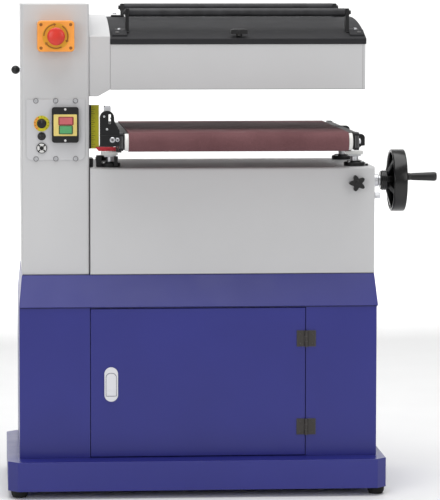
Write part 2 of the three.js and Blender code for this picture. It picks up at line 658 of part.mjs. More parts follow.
function controlPlate() {
  const p = PLATE;
  const outline = roundedRect(p.left, p.right, p.bottom, p.top, [p.corner, p.corner, 0, 0]);
  return piece("control_plate", prism(outline, "y", PANEL_BACK - p.thick, PANEL_BACK), FINISH.greyPaint);
}

function switchFrame() {
  const s = SWITCH;
  const r = s.corner;
  const front = PANEL_FACE - s.depth;
  const body = prism(roundedRect(s.left, s.right, s.bottom, s.top, [r, r, r, r]), "y", front, PANEL_FACE);
  const { play, pocket } = PUSH;
  const pockets = [STOP, START].map((b) =>
    box(b.left - play, b.right + play, front - 1, front + pocket, b.bottom - play, b.top + play));
  return piece("switch_frame", cut(body, ...pockets), FINISH.blackPlastic);
}

function pushButton(name, b, material) {
  const front = PANEL_FACE - SWITCH.depth - PUSH.proud;
  return piece(name, box(b.left, b.right, front, front + PUSH.depth, b.bottom, b.top), material);
}

function speedDial() {
  const front = -DIAL.depth;
  const knob = rod(DIAL.radius, front, 0, "y", 0, 0, 24);
  const ridge = box(-1.5, 1.5, front - 2, front + 1, -1, DIAL.radius - 1);
  return piece("speed_dial", join(knob, ridge), FINISH.blackPlastic, [DIAL.x, PANEL_FACE, DIAL.z]);
}

function resetButton() {
  const back = PANEL_FACE - RESET.travel;
  const cap = rod(RESET.radius, back - RESET.depth, back, "y", 0, 0, 20);
  return piece("reset_button", cap, FINISH.blackPlastic, [DIAL.x, 0, RESET.z]);
}

function powerSocket() {
  const barrel = rod(SOCKET.radius, -SOCKET.depth, 0, "y", 0, 0, 28);
  const bore = rod(SOCKET.bore, -SOCKET.depth - 1, -1.5, "y", 0, 0, 24);
  return piece("power_socket", cut(barrel, bore), FINISH.steel, [DIAL.x, PANEL_FACE, SOCKET.z]);
}

function emergencyBox() {
  const e = ESTOP;
  const r = e.corner;
  const front = PANEL_BACK - e.depth;
  const body = prism(roundedRect(e.left, e.right, e.bottom, e.top, [r, r, r, r]), "y", front, PANEL_BACK, 4);
  const well = rod(MUSHROOM.stem + 0.6, front - 1, front + MUSHROOM.sunk + MUSHROOM.travel, "y",
    (e.left + e.right) / 2, (e.bottom + e.top) / 2, 24);
  return piece("estop_box", cut(body, well), FINISH.yellow);
}

function emergencyButton() {
  const { radius, stem, height, travel, sunk } = MUSHROOM;
  const under = -travel;
  const front = under - height;
  const profile = [[0, front], [radius * 0.6, front + 1.5], [radius - 1, front + 6],
    [radius, front + 10], [radius - 2, under], [stem, under], [stem, sunk], [0, sunk]];
  const x = (ESTOP.left + ESTOP.right) / 2;
  const z = (ESTOP.bottom + ESTOP.top) / 2;
  return piece("estop_button", turned(profile, "y", 0, 0), FINISH.red, [x, PANEL_BACK - ESTOP.depth, z]);
}

// ---- The whole machine ----

const stand = assembly(plinth(), feet(), cabinetShell(), cabinetHood(), bedCasing(), column());
const hinges = assembly(
  hingePlate("hinge_plate_lower", HINGE.bottoms[0]), hingePlate("hinge_plate_upper", HINGE.bottoms[1]),
);
const door = assembly(cabinetDoor(), latchPlate(), latchPaddle());
const head = assembly(headArm(), headHousing(), dustPort());
const lid = assembly(headLid(), rollerBrackets(), returnRoller("front"), returnRoller("rear"), lidCatch());
const drive = assembly(sandingDrum(), abrasiveWrap(), motorPulley(), driveMotor(), driveBelt());
const pressure = assembly(pressureRoller("front", -PRESS_ROLLER.y), pressureRoller("rear", PRESS_ROLLER.y));
const table = assembly(
  conveyorTable(), conveyorBelt(), gearMotor(), heightPointer(), liftPosts(),
  conveyorRoller("drive_roller", -TABLE.end), conveyorRoller("idler_roller", TABLE.end),
);
const sides = assembly(liftFlanges(), handwheel(), crankHandle(), starKnob(), sideKnob(), heightScale());
const panel = assembly(
  controlPlate(), switchFrame(), pushButton("stop_button", STOP, FINISH.red),
  pushButton("start_button", START, FINISH.green), speedDial(), resetButton(), powerSocket(),
  emergencyBox(), emergencyButton(),
);

const machine = new THREE.Group();
machine.add(stand, hinges, door, head, lid, drive, pressure, table, sides, panel);

export default machine;
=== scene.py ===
import json
from math import cos, pi, radians, sin, sqrt, tan

import bmesh
import bpy
from mathutils import Matrix, Vector


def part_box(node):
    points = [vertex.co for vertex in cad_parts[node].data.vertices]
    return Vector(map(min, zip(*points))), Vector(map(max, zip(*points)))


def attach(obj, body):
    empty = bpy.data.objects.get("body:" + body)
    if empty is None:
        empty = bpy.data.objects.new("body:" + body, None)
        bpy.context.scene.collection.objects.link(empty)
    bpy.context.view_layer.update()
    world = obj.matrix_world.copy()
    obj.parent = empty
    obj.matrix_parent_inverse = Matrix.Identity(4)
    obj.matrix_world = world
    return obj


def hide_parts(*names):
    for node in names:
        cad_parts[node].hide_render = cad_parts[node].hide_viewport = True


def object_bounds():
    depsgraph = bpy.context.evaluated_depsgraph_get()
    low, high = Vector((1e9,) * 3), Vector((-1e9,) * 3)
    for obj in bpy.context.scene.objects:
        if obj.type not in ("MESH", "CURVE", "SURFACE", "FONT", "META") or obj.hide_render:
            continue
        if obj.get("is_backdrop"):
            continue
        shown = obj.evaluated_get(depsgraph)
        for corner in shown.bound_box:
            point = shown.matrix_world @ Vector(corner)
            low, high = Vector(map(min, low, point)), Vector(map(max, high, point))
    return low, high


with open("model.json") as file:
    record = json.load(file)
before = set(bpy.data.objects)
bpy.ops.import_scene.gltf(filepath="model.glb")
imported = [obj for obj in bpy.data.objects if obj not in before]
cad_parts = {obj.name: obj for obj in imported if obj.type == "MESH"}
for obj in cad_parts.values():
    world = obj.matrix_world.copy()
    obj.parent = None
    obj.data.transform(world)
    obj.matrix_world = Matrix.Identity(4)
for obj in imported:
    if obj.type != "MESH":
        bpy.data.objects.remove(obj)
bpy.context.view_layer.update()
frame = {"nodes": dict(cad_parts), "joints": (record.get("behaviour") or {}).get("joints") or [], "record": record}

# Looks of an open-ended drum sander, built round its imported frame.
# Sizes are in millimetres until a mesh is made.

MM = 0.001
EYE = (-0.542, -6.663, 1.186)  # the camera's place, in metres
LENS = 205.8
SENSOR = 36.0
SHIFT = (0.1, -0.1)
LOOK_RIGHT = 3.64  # degrees
LOOK_DOWN = 4.52
ROWS = ("front", "rear")
SIDES = ("left", "right")


# ---- Places taken from the frame ----

class Span:
    """A CAD node's extent in millimetres."""

    def __init__(self, node):
        low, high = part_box(node)
        self.left, self.front, self.bottom = (value / MM for value in low)
        self.right, self.back, self.top = (value / MM for value in high)
        self.x = (self.left + self.right) / 2
        self.y = (self.front + self.back) / 2
        self.z = (self.bottom + self.top) / 2
        self.wide = self.right - self.left
        self.tall = self.top - self.bottom


def joint_anchor(name):
    """Where a hinge's axis passes, in millimetres."""
    joint = next(j for j in frame["joints"] if j["name"] == name)
    return [value / MM for value in joint["pos_m"]]


# ---- Mesh building ----

def place(axis, along, u, v):
    """A point given by its station along an axis and its two other coordinates in X, Y, Z order."""
    return {"x": (along, u, v), "y": (u, along, v), "z": (u, v, along)}[axis]


def on_circle(u, v, radius, angle):
    return u + radius * cos(angle), v + radius * sin(angle)


def from_face(face, points, sign=1):
    """Profile points of (radius, depth), with each depth turned into a station by adding a face's own."""
    return [(radius, face + sign * depth) for radius, depth in points]


def prism(outline, axis, start, end):
    """An outline of (u, v) points drawn out along an axis."""
    bm = bmesh.new()
    low, high = ([bm.verts.new(place(axis, station, u, v)) for u, v in outline] for station in (start, end))
    bm.faces.new(low)
    bm.faces.new(high)
    for i in range(len(outline)):
        j = (i + 1) % len(outline)
        bm.faces.new((low[i], low[j], high[j], high[i]))
    return bm


def box(x0, x1, y0, y1, z0, z1):
    return prism([(x0, y0), (x1, y0), (x1, y1), (x0, y1)], "z", z0, z1)


def band(outer, inner, axis, start, end):
    """A closed strip between two outlines of equal length, drawn out along an axis."""
    bm = bmesh.new()
    rings = [[bm.verts.new(place(axis, station, u, v)) for u, v in outline]
             for outline, station in ((outer, start), (outer, end), (inner, end), (inner, start))]
    for ring, following in zip(rings, rings[1:] + rings[:1]):
        for i in range(len(outer)):
            j = (i + 1) % len(outer)
            bm.faces.new((ring[i], ring[j], following[j], following[i]))
    return bm


def lathe(profile, axis, u, v, sides=64):
    """A body turned about an axis through (u, v), from points given as (radius, station)."""
    bm = bmesh.new()
    closed = profile[0] == profile[-1]
    turns = [2 * pi * k / sides for k in range(sides)]
    rings = []
    for radius, station in profile[:-1] if closed else profile:
        on_axis = radius < 1e-6
        spots = [(u, v)] if on_axis else [on_circle(u, v, radius, turn) for turn in turns]
        rings.append([bm.verts.new(place(axis, station, *spot)) for spot in spots])
    pairs = list(zip(rings, rings[1:]))
    if closed:
        pairs.append((rings[-1], rings[0]))
    for low, high in pairs:
        for k in range(sides):
            n = (k + 1) % sides
            corners = [low[k % len(low)], low[n % len(low)], high[n % len(high)], high[k % len(high)]]
            unique = list(dict.fromkeys(corners))
            if len(unique) > 2:
                bm.faces.new(unique)
    return bm


def tube(path, radius, sides):
    """A round bar along a path of points, with closed ends."""
    bm = bmesh.new()
    points = [Vector(p) for p in path]
    rings = []
    normal = None
    for i, point in enumerate(points):
        ahead = points[min(i + 1, len(points) - 1)]
        behind = points[max(i - 1, 0)]
        tangent = (ahead - behind).normalized()
        if normal is None:
            normal = tangent.orthogonal().normalized()
        normal = (normal - tangent * normal.dot(tangent)).normalized()
        side = tangent.cross(normal)
        rings.append([bm.verts.new(point + radius * (cos(a) * normal + sin(a) * side))
                      for a in (2 * pi * k / sides for k in range(sides))])
    for low, high in zip(rings, rings[1:]):
        for k in range(sides):
            n = (k + 1) % sides
            bm.faces.new((low[k], low[n], high[n], high[k]))
    bm.faces.new(rings[0])
    bm.faces.new(rings[-1])
    return bm


def turned(bm, degrees, axis, spot):
    """A mesh turned about an axis through the origin, and then moved to a place."""
    bm.transform(Matrix.Rotation(radians(degrees), 4, axis))
    bm.transform(Matrix.Translation(spot))
    return bm


def merged(parts):
    """Several meshes as one."""
    whole = bmesh.new()
    for part in parts:
        mesh = bpy.data.meshes.new("part")
        part.to_mesh(mesh)
        part.free()
        whole.from_mesh(mesh)
        bpy.data.meshes.remove(mesh)
    return whole


def mesh_of(name, bm):
    bmesh.ops.recalc_face_normals(bm, faces=bm.faces)
    bm.transform(Matrix.Scale(MM, 4))
    mesh = bpy.data.meshes.new(name)
    bm.to_mesh(mesh)
    bm.free()
    return mesh


def linked(name, data):
    """A new object in the scene."""
    obj = bpy.data.objects.new(name, data)
    bpy.context.scene.collection.objects.link(obj)
    return obj


def carved(body, *tools):
    """The body with each tool's space cut out of it."""
    keep = linked("carve_body", mesh_of("carve_body", body))
    cutters = []
    for tool in tools:
        cutter = linked("carve_tool", mesh_of("carve_tool", tool))
        modifier = keep.modifiers.new("carve", "BOOLEAN")
        modifier.operation = "DIFFERENCE"
        modifier.solver = "EXACT"
        modifier.object = cutter
        cutters.append(cutter)
    graph = bpy.context.evaluated_depsgraph_get()
    result = bmesh.new()
    result.from_mesh(keep.evaluated_get(graph).to_mesh())
    for used in [keep, *cutters]:
        mesh = used.data
        bpy.data.objects.remove(used)
        bpy.data.meshes.remove(mesh)
    bmesh.ops.dissolve_limit(result, angle_limit=radians(0.5), verts=result.verts, edges=result.edges)
    result.transform(Matrix.Scale(1 / MM, 4))
    return result


def rounded(x0, x1, z0, z1, radii, steps=6):
    """A rectangle's outline with its own radius at each corner, from lower left round to upper left."""
    corners = [(x0, z0, 1, 1, 180), (x1, z0, -1, 1, 270), (x1, z1, -1, -1, 0), (x0, z1, 1, -1, 90)]
    outline = []
    for (x, z, dx, dz, start), radius in zip(corners, radii):
        outline += [on_circle(x + dx * radius, z + dz * radius, radius, radians(start + 90 * k / steps))
                    for k in range(steps + 1)]
    return outline


def arc(u, v, radius, start, end, steps):
    return [on_circle(u, v, radius, radians(start + (end - start) * k / steps)) for k in range(steps + 1)]


def soften(obj, width):
    """Rounds an object's edges over the given width."""
    bevel = obj.modifiers.new("rounded edges", "BEVEL")
    bevel.width = width * MM
    bevel.segments = 3
    bevel.limit_method = "ANGLE"
    bevel.angle_limit = radians(32)
    bevel.harden_normals = True
    bevel.use_clamp_overlap = True
    return bevel


def piece(name, bm, slot, body, edge=0.0, replaces=(), crease=38):
    """A new piece of the machine, riding on a body and given one of the finishes."""
    mesh = mesh_of(name, bm)
    mesh.shade_smooth()
    mesh.materials.append(FINISH[slot])
    obj = linked(name, mesh)
    if edge:
        soften(obj, edge)
    else:
        mesh.set_sharp_from_angle(angle=radians(crease))
    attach(obj, body)
    if replaces:
        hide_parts(*replaces)


# ---- Finishes ----

def linear(red, green, blue):
    """A colour given in display values from 0 to 255, as the renderer's linear values."""
    def channel(value):
        value /= 255
        return value / 12.92 if value <= 0.04045 else ((value + 0.055) / 1.055) ** 2.4
    return (channel(red), channel(green), channel(blue), 1.0)


def shade(color, factor):
    return tuple(min(1.0, c * factor) for c in color[:3]) + (1.0,)


class Surface:
    """A material with its shader, and short ways to add nodes to it."""

    def __init__(self, name, roughness, metallic=0.0, specular=0.5):
        self.material = bpy.data.materials.new(name)
        self.material.use_nodes = True
        self.tree = self.material.node_tree
        self.shader = self.tree.nodes["Principled BSDF"]
        self.shader.inputs["Roughness"].default_value = roughness
        self.shader.inputs["Metallic"].default_value = metallic
        self.shader.inputs["Specular IOR Level"].default_value = specular
        self.coordinates = self.node("ShaderNodeTexCoord").outputs["Object"]

    def node(self, kind, values=(), **settings):
        """A new node with its settings, and the values of its unlinked inputs."""
        made = self.tree.nodes.new(kind)
        for key, value in settings.items():
            setattr(made, key, value)
        for key, value in dict(values).items():
            made.inputs[key].default_value = value
        return made

    def link(self, source, target):
        self.tree.links.new(source, target)

    def stretched(self, scale):
        mapping = self.node("ShaderNodeMapping", {"Scale": scale})
        self.link(self.coordinates, mapping.inputs["Vector"])
        return mapping.outputs["Vector"]

    def noise(self, scale, detail=3.0, vector=None, rough=0.5):
        noise = self.node("ShaderNodeTexNoise", {"Scale": scale, "Detail": detail, "Roughness": rough})
        self.link(vector or self.coordinates, noise.inputs["Vector"])
        return noise.outputs["Fac"]

    def ramp(self, factor, low, high, dark, light):
        """A factor spread between two colours."""
        ramp = self.node("ShaderNodeValToRGB")
        for element, position, color in zip(ramp.color_ramp.elements, (low, high), (dark, light)):
            element.position = position
            element.color = color
        self.link(factor, ramp.inputs["Fac"])
        return ramp.outputs["Color"]

    def mix(self, factor, first, second):
        mix = self.node("ShaderNodeMix", data_type="RGBA")
        self.link(factor, mix.inputs["Factor"])
        self.link(first, mix.inputs["A"])
        if isinstance(second, tuple):
            mix.inputs["B"].default_value = second
        else:
            self.link(second, mix.inputs["B"])
        return mix.outputs["Result"]

    def spread(self, factor, limits):
        made = self.node("ShaderNodeMapRange", limits)
        self.link(factor, made.inputs["Value"])
        return made.outputs["Result"]

    def span(self, factor, low, high):
        """A factor between 0 and 1 spread from low to high."""
        return self.spread(factor, {"To Min": low, "To Max": high})

    def bump(self, *layers):
        """Stacked bumps, each given as (height, strength, depth in millimetres)."""
        normal = None
        for height, strength, depth in layers:
            bump = self.node("ShaderNodeBump", {"Strength": strength, "Distance": depth * MM})
            self.link(height, bump.inputs["Height"])
            if normal:
                self.link(normal, bump.inputs["Normal"])
            normal = bump.outputs["Normal"]
        self.link(normal, self.shader.inputs["Normal"])

    def edges(self, radius):
        """How close a point is to an outer edge, from 0 to 1."""
        wide = self.node("ShaderNodeBevel", {"Radius": radius * MM}, samples=4)
        geometry = self.node("ShaderNodeNewGeometry")
        turn = self.node("ShaderNodeVectorMath", operation="DOT_PRODUCT")
        self.link(wide.outputs["Normal"], turn.inputs[0])
        self.link(geometry.outputs["Normal"], turn.inputs[1])
        away = self.node("ShaderNodeMath", {0: 1.0}, operation="SUBTRACT")
        self.link(turn.outputs["Value"], away.inputs[1])
        return self.spread(away.outputs["Value"], {"From Min": 0.03, "From Max": 0.3})

    def color(self, output):
        self.link(output, self.shader.inputs["Base Color"])

    def rough(self, output):
        self.link(output, self.shader.inputs["Roughness"])


def powder_coat(name, color, roughness, worn, mottle=0.05, specular=0.5):
    """Baked powder paint: fine orange peel, faint unevenness and lighter rubbed edges."""
    s = Surface(name, roughness, specular=specular)
    tone = s.ramp(s.noise(5.0, 5.0), 0.3, 0.7, shade(color, 1 - mottle), shade(color, 1 + mottle))
    rub = s.node("ShaderNodeMath", operation="MULTIPLY")
    s.link(s.edges(1.6), rub.inputs[0])
    s.link(s.span(s.noise(60.0, 4.0), 0.0, worn), rub.inputs[1])
    pale = tuple(c + (1 - c) * 0.35 for c in color[:3]) + (1.0,)
    s.color(s.mix(rub.outputs["Value"], tone, pale))
    s.rough(s.span(s.noise(22.0, 4.0), roughness - 0.07, roughness + 0.09))
    s.bump((s.noise(700.0, 2.0), 0.16, 0.12), (s.noise(2600.0, 2.0), 0.1, 0.05))
    return s.material


def moulded(name, color, roughness, grain):
    """Injection-moulded plastic with a fine grain."""
    s = Surface(name, roughness)
    s.color(s.ramp(s.noise(30.0, 4.0), 0.3, 0.7, shade(color, 0.9), shade(color, 1.1)))
    s.rough(s.span(s.noise(120.0, 3.0), roughness - 0.06, roughness + 0.08))
    s.bump((s.noise(1800.0, 2.0), grain, 0.08))
    return s.material


def rubber(name, color, roughness):
    """Matt rubber with a dusty bloom."""
    s = Surface(name, roughness, specular=0.35)
    s.color(s.ramp(s.noise(40.0, 6.0), 0.35, 0.75, color, shade(color, 2.2)))
    s.rough(s.span(s.noise(80.0, 4.0), roughness - 0.1, roughness + 0.1))
    s.bump((s.noise(900.0, 3.0), 0.25, 0.15))
    return s.material


def brushed(name, color, roughness, along, scale):
    """Bare metal with fine lines along one direction."""
    s = Surface(name, roughness, metallic=1.0)
    lines = s.noise(scale, 4.0, s.stretched(along))
    s.color(s.ramp(lines, 0.3, 0.7, shade(color, 0.82), shade(color, 1.12)))
    s.rough(s.span(lines, roughness - 0.08, roughness + 0.12))
    s.bump((lines, 0.12, 0.05), (s.noise(14.0, 3.0), 0.05, 0.2))
    return s.material


def castings(name, color, roughness):
    """Machined or painted iron with a sandy surface."""
    s = Surface(name, roughness, metallic=0.6)
    s.color(s.ramp(s.noise(90.0, 6.0), 0.3, 0.7, shade(color, 0.8), shade(color, 1.15)))
    s.rough(s.span(s.noise(50.0, 4.0), roughness - 0.1, roughness + 0.12))
    s.bump((s.noise(500.0, 4.0), 0.3, 0.2))
    return s.material


def abrasive(name, dark, light):
    """Abrasive cloth: close-set grit with paler grains and a slight overlap of tone."""
    s = Surface(name, 0.8, specular=0.03)
    grit = s.noise(1500.0, 4.0, rough=0.7)
    coarse = s.noise(320.0, 3.0, rough=0.6)
    grains = s.ramp(grit, 0.35, 0.72, dark, light)
    patches = s.ramp(s.noise(9.0, 5.0), 0.3, 0.7, shade(dark, 1.15), shade(light, 0.95))
    s.color(s.mix(s.span(coarse, 0.05, 0.5), grains, patches))
    s.rough(s.span(grit, 0.45, 0.8))
    s.bump((grit, 0.5, 0.25), (coarse, 0.3, 0.3))
    return s.material


# Each finish by its maker: the display colour, then the maker's own settings.
FINISHES = {
    powder_coat: {
        "blue_paint": ((41, 44, 125), 0.32, 0.3, 0.05, 0.45),
        "grey_paint": ((198, 198, 199), 0.4, 0.25, 0.02, 0.5),
        "charcoal_paint": ((46, 46, 48), 0.6, 0.2, 0.05, 0.12),
        "panel_grey": ((199, 199, 201), 0.42, 0.2, 0.015),
        # joint_blue is painted shade: the dark blue of the shadow under the hood's edge.
        "joint_blue": ((20, 21, 66), 0.6, 0.2, 0.05, 0.2),
        # panel_shadow is painted shade: the darker grey of the shadow in the head's joints and under the panel
        # screws.
        "panel_shadow": ((140, 140, 141), 0.6, 0.2, 0.05, 0.2),
        "black_metal": ((15, 15, 17), 0.4, 0.3, 0.05, 0.35),
        "hinge_steel": ((50, 46, 42), 0.42, 0.5),
        "latch_metal": ((222, 222, 226), 0.3, 0.2, 0.02),
        "pale_steel": ((218, 218, 216), 0.28, 0.2, 0.04),
        "table_steel": ((60, 60, 59), 0.5, 0.3, 0.05, 0.3),
        "rail_grey": ((96, 96, 96), 0.45, 0.3),
    },
    moulded: {
        "black_plastic": ((15, 15, 16), 0.34, 0.12),
        "gloss_black": ((11, 11, 12), 0.22, 0.05),
        "scale_yellow": ((190, 184, 24), 0.4, 0.04),
        "red_paint": ((206, 44, 58), 0.35, 0.05),
        "red_plastic": ((208, 52, 38), 0.3, 0.05),
        "green_plastic": ((88, 164, 108), 0.3, 0.05),
        "amber_plastic": ((246, 160, 66), 0.35, 0.06),
        "white_plastic": ((232, 232, 228), 0.35, 0.05),
        "label_cream": ((224, 202, 118), 0.45, 0.02),
        "mark_amber": ((150, 92, 20), 0.4, 0.02),
        "disc_yellow": ((222, 160, 36), 0.4, 0.03),
        "dial_yellow": ((214, 204, 32), 0.35, 0.03),
        "stop_pink": ((196, 100, 104), 0.3, 0.04),
        "stop_rim": ((150, 52, 52), 0.35, 0.04),
        "start_rim": ((84, 104, 70), 0.35, 0.04),
    },
    rubber: {
        "roller_black": ((34, 34, 36), 0.45),
        "foot_rubber": ((24, 24, 24), 0.8),
        "belt_rubber": ((30, 30, 30), 0.75),
    },
    brushed: {
        "bright_steel": ((214, 215, 218), 0.34, (1, 40, 40), 60.0),
        "drum_aluminium": ((190, 190, 192), 0.32, (60, 1, 1), 30.0),
    },
    castings: {
        "cast_iron": ((110, 110, 112), 0.55),
        "motor_aluminium": ((120, 122, 126), 0.5),
    },
}
FINISH = {name: maker(name, linear(*color), *settings)
          for maker, kinds in FINISHES.items() for name, (color, *settings) in kinds.items()}
FINISH["abrasive_cloth"] = abrasive("abrasive_cloth", linear(70, 44, 47), linear(142, 102, 105))
# CAD nodes whose finish differs from their slot's.
NODE_FINISH = {"stop_button": "stop_pink"}

# How far the edges of the CAD nodes whose names start this way are rounded, in millimetres.
EDGES = {
    "plinth": 2.5, "cabinet_shell": 1.2, "cabinet_hood": 2.0, "cabinet_door": 1.2, "bed_casing": 1.6,
    "column": 4.0, "head_housing": 1.4, "hinge_plate": 0.4, "latch_plate": 0.9, "control_plate": 0.7,
    "switch_frame": 1.4, "estop_box": 3.0, "stop_button": 1.3, "start_button": 1.3, "gear_motor": 1.4,
    "conveyor_table": 0.8, "height_pointer": 0.4, "height_scale": 0.2, "lid_catch": 2.0,
    "roller_bracket": 0.8, "lift_post": 0.8, "drive_motor": 2.0,
}
THIN_EDGE = 0.3
# CAD nodes with a ring-shaped face: their flat faces stay in triangles, shaded by the largest.
RING_FACED = ("cabinet_shell",)


def finish_nodes():
    """Gives every CAD node its finish, and rounds the edges of those that are shown as they are."""
    for entry in frame["record"]["subparts"]:
        node = entry["node"]
        obj = frame["nodes"][node]
        mesh = obj.data
        mesh.materials.clear()
        mesh.materials.append(FINISH[NODE_FINISH.get(node, entry["material_slot"])])
        if "custom_normal" in mesh.attributes:
            mesh.attributes.remove(mesh.attributes["custom_normal"])
        mesh.shade_smooth()
        weld = obj.modifiers.new("weld", "WELD")
        weld.merge_threshold = 0.01 * MM
        if node not in RING_FACED:
            flat = obj.modifiers.new("flat faces", "DECIMATE")
            flat.decimate_type = "DISSOLVE"
            flat.angle_limit = radians(1.0)
        width = next((width for start, width in EDGES.items() if node.startswith(start)), THIN_EDGE)
        bevel = soften(obj, width)
        if node in RING_FACED:
            bevel.harden_normals = False
            normals = obj.modifiers.new("flat shading", "WEIGHTED_NORMAL")
            normals.weight = 100


# ---- Fasteners ----

SUNK = 0.5  # how far a fastener reaches into the face that it stands on


def split(axis, x, y, z):
    """A point's station along an axis, and its two other coordinates."""
    return {"x": (x, y, z), "y": (y, x, z), "z": (z, x, y)}[axis]


def screw(x, y, z, radius, height, axis="y", sign=-1):
    """A round-headed socket screw whose head stands on a face, pointing along an axis."""
    socket, floor = radius * 0.42, height * 0.45
    profile = [(0, floor), (socket, floor), (socket, height), (radius * 0.8, height), (radius, height * 0.55),
               (radius, -SUNK), (0, -SUNK)]
    along, u, v = split(axis, x, y, z)
    return lathe(from_face(along, profile, sign), axis, u, v, 20)


def screws(name, spots, radius, height, slot, body, axis="y", sign=-1):
    """Like screws at several places, as one piece."""
    piece(name, merged([screw(*spot, radius, height, axis, sign) for spot in spots]), slot, body)


def four_round(u, v, radius):
    """The four places on a circle's diagonals."""
    return [on_circle(u, v, radius, radians(45 + 90 * k)) for k in range(4)]


def bolt(x, y, z, sign):
    """A hexagon bolt head on a washer, pointing along X."""
    across, height = 9, 5
    rim = across * 0.85
    washer = lathe(from_face(x, [(0, -SUNK), (rim, -SUNK), (rim, 1.3), (0, 1.3)], sign), "x", y, z, 24)
    start, end = sorted((x + sign * 1.2, x + sign * height))
    return merged([washer, prism(arc(y, z, across / sqrt(3), 0, 300, 5), "x", start, end)])


# ---- Stand ----

def feet():
    for row in ROWS:
        for side in SIDES:
            node = f"foot_{row}_{side}"
            s = Span(node)
            top = s.wide / 2
            low = top * 0.8
            profile = [(0, 0), (low - 2, 0), (low, 1.5), (low + 1, 5), (low + 2.2, 6), (top - 0.6, s.top - 2),
                       (top, s.top - 1), (top, s.top), (0, s.top)]
            foot = lathe(profile, "z", s.x, s.y, 48)
            piece(f"{node}_rubber", foot, "foot_rubber", "stand", replaces=(node,))


def hinge_leaves():
    """The half of each hinge that is screwed to the door, and the screws of both halves."""
    hinge_x, hinge_y, _ = joint_anchor("door_swing")
    for level in ("lower", "upper"):
        s = Span(f"hinge_plate_{level}")
        third = s.tall / 3
        low, high = s.bottom + third + 0.3, s.top - third - 0.3
        back = Span("cabinet_door").front - 0.3
        leaf = box(hinge_x - 22, hinge_x - 3, back - 2, back, s.bottom, s.top)
        barrel = [(2.1, low), (4.1, low), (4.1, high), (2.1, high), (2.1, low)]
        knuckle = lathe(barrel, "z", hinge_x, hinge_y, 28)
        bridge = box(hinge_x - 4.5, hinge_x - 2.6, back - 3, back, low, high)
        piece(f"door_leaf_{level}", merged([leaf, bridge, knuckle]), "hinge_steel", "door", edge=0.35)
        for name, offset, body in (("door_leaf_screws", -14, "door"), ("hinge_screws", 14, "stand")):
            spots = [(hinge_x + offset, back - 2, z) for z in (s.bottom + 7, s.top - 7)]
            screws(f"{name}_{level}", spots, 2.6, 1.2, "hinge_steel", body)


def latch_details():
    """The arched paddle with its finger groove, and the bezel round it."""
    s = Span("latch_paddle")
    plate = Span("latch_plate")
    half = s.wide / 2
    arch = [1.5, 1.5, half - 1.5, half - 1.5]
    paddle = prism(rounded(s.left, s.right, s.bottom, s.top, arch), "y", s.front, s.back)
    piece("paddle_arch", paddle, "latch_metal", "paddle", edge=1.2, replaces=("latch_paddle",))
    gap = 1.1
    wider = [radius + gap for radius in arch]
    hole = rounded(s.left - gap, s.right + gap, s.bottom - gap, s.top + gap, wider)
    inset = 1.6
    corner = plate.wide / 2 - inset
    outline = rounded(plate.left + inset, plate.right - inset, plate.bottom + inset, plate.top - inset,
                      [corner] * 4)
    bezel = carved(prism(outline, "y", plate.front - 0.6, plate.front + 0.3),
                   prism(hole, "y", plate.front - 2, plate.front + 2))
    piece("latch_bezel", bezel, "latch_metal", "door", edge=0.3)
    groove = box(s.left + 2, s.right - 2, s.front - 0.5, s.front + 0.2, s.bottom + 14, s.bottom + 15.5)
    grip = rounded(s.left + 3, s.right - 3, s.bottom + 2.5, s.bottom + 12, [3] * 4)
    lip = prism(grip, "y", s.front - 0.8, s.front)
    piece("latch_grip", merged([groove, lip]), "latch_metal", "paddle", edge=0.3)


def bed_bracket():
    """The black block between the column and the bed, and the handwheel's bushing and stop bolt."""
    bed = Span("bed_casing")
    column = Span("column")
    block = box(column.right + 0.5, bed.left + 8, bed.front + 30, bed.front + 80, bed.top + 0.2, bed.top + 20)
    piece("bed_block", block, "black_metal", "stand", edge=1.5)
    _, y, z = joint_anchor("handwheel_turn")
    start = bed.right + 0.2
    bore = 9.0
    profile = from_face(start, [(bore, 0), (19, 0), (19, 5), (15, 6), (15, 28), (12.5, 30), (12.5, 33.5),
                                (bore, 33.5), (bore, 0)])
    piece("handwheel_bushing", lathe(profile, "x", y, z, 48), "bright_steel", "stand")
    stop = from_face(start, [(0, 0), (9, 0), (9, 3), (5, 3), (5, 14), (8, 14), (8, 25), (7, 26), (0, 26)])
    piece("stop_bolt", lathe(stop, "x", y - 58, z - 31, 6), "bright_steel", "stand", edge=0.6)


# ---- Head ----

def crown(front, back, rise):
    """The crowned top's outline from front to back: a smooth rise that levels off."""
    lid = Span("head_lid")
    low = lid.top - 45 + rise
    high = lid.top + rise
    steps = 28
    outline = []
    for k in range(steps + 1):
        share = k / steps
        reach = min(1.0, share / 0.92)
        outline.append((front + (back - front) * share, low + (high - low) * (1 - (1 - reach) ** 2.15)))
    return outline


def head_lid():
    s = Span("head_lid")
    housing = Span("head_housing")
    wall = 3.0
    inner_front, inner_back = housing.front + wall, s.back - wall
    crest = crown(housing.front, s.back, 0)
    outer = [(s.front, s.bottom), (s.front, s.bottom + 13), *crest, (s.back, s.bottom)]
    under = [(max(y, inner_front), z - wall) for y, z in crest if y < inner_back]
    inner = [(inner_front, s.bottom - 1), *under, (inner_back, s.top - wall), (inner_back, s.bottom - 1)]
    shell = carved(prism(outer, "x", s.left, s.right), prism(inner, "x", s.left + wall, s.right - wall))
    piece("lid_shell", shell, "charcoal_paint", "lid", edge=1.2, replaces=("head_lid",))
    seam = box(s.left + 0.5, s.right - 0.5, s.front - 0.6, housing.front, s.bottom + 10.4, s.bottom + 12.4)
    piece("lid_seam", seam, "charcoal_paint", "lid", edge=0.4)


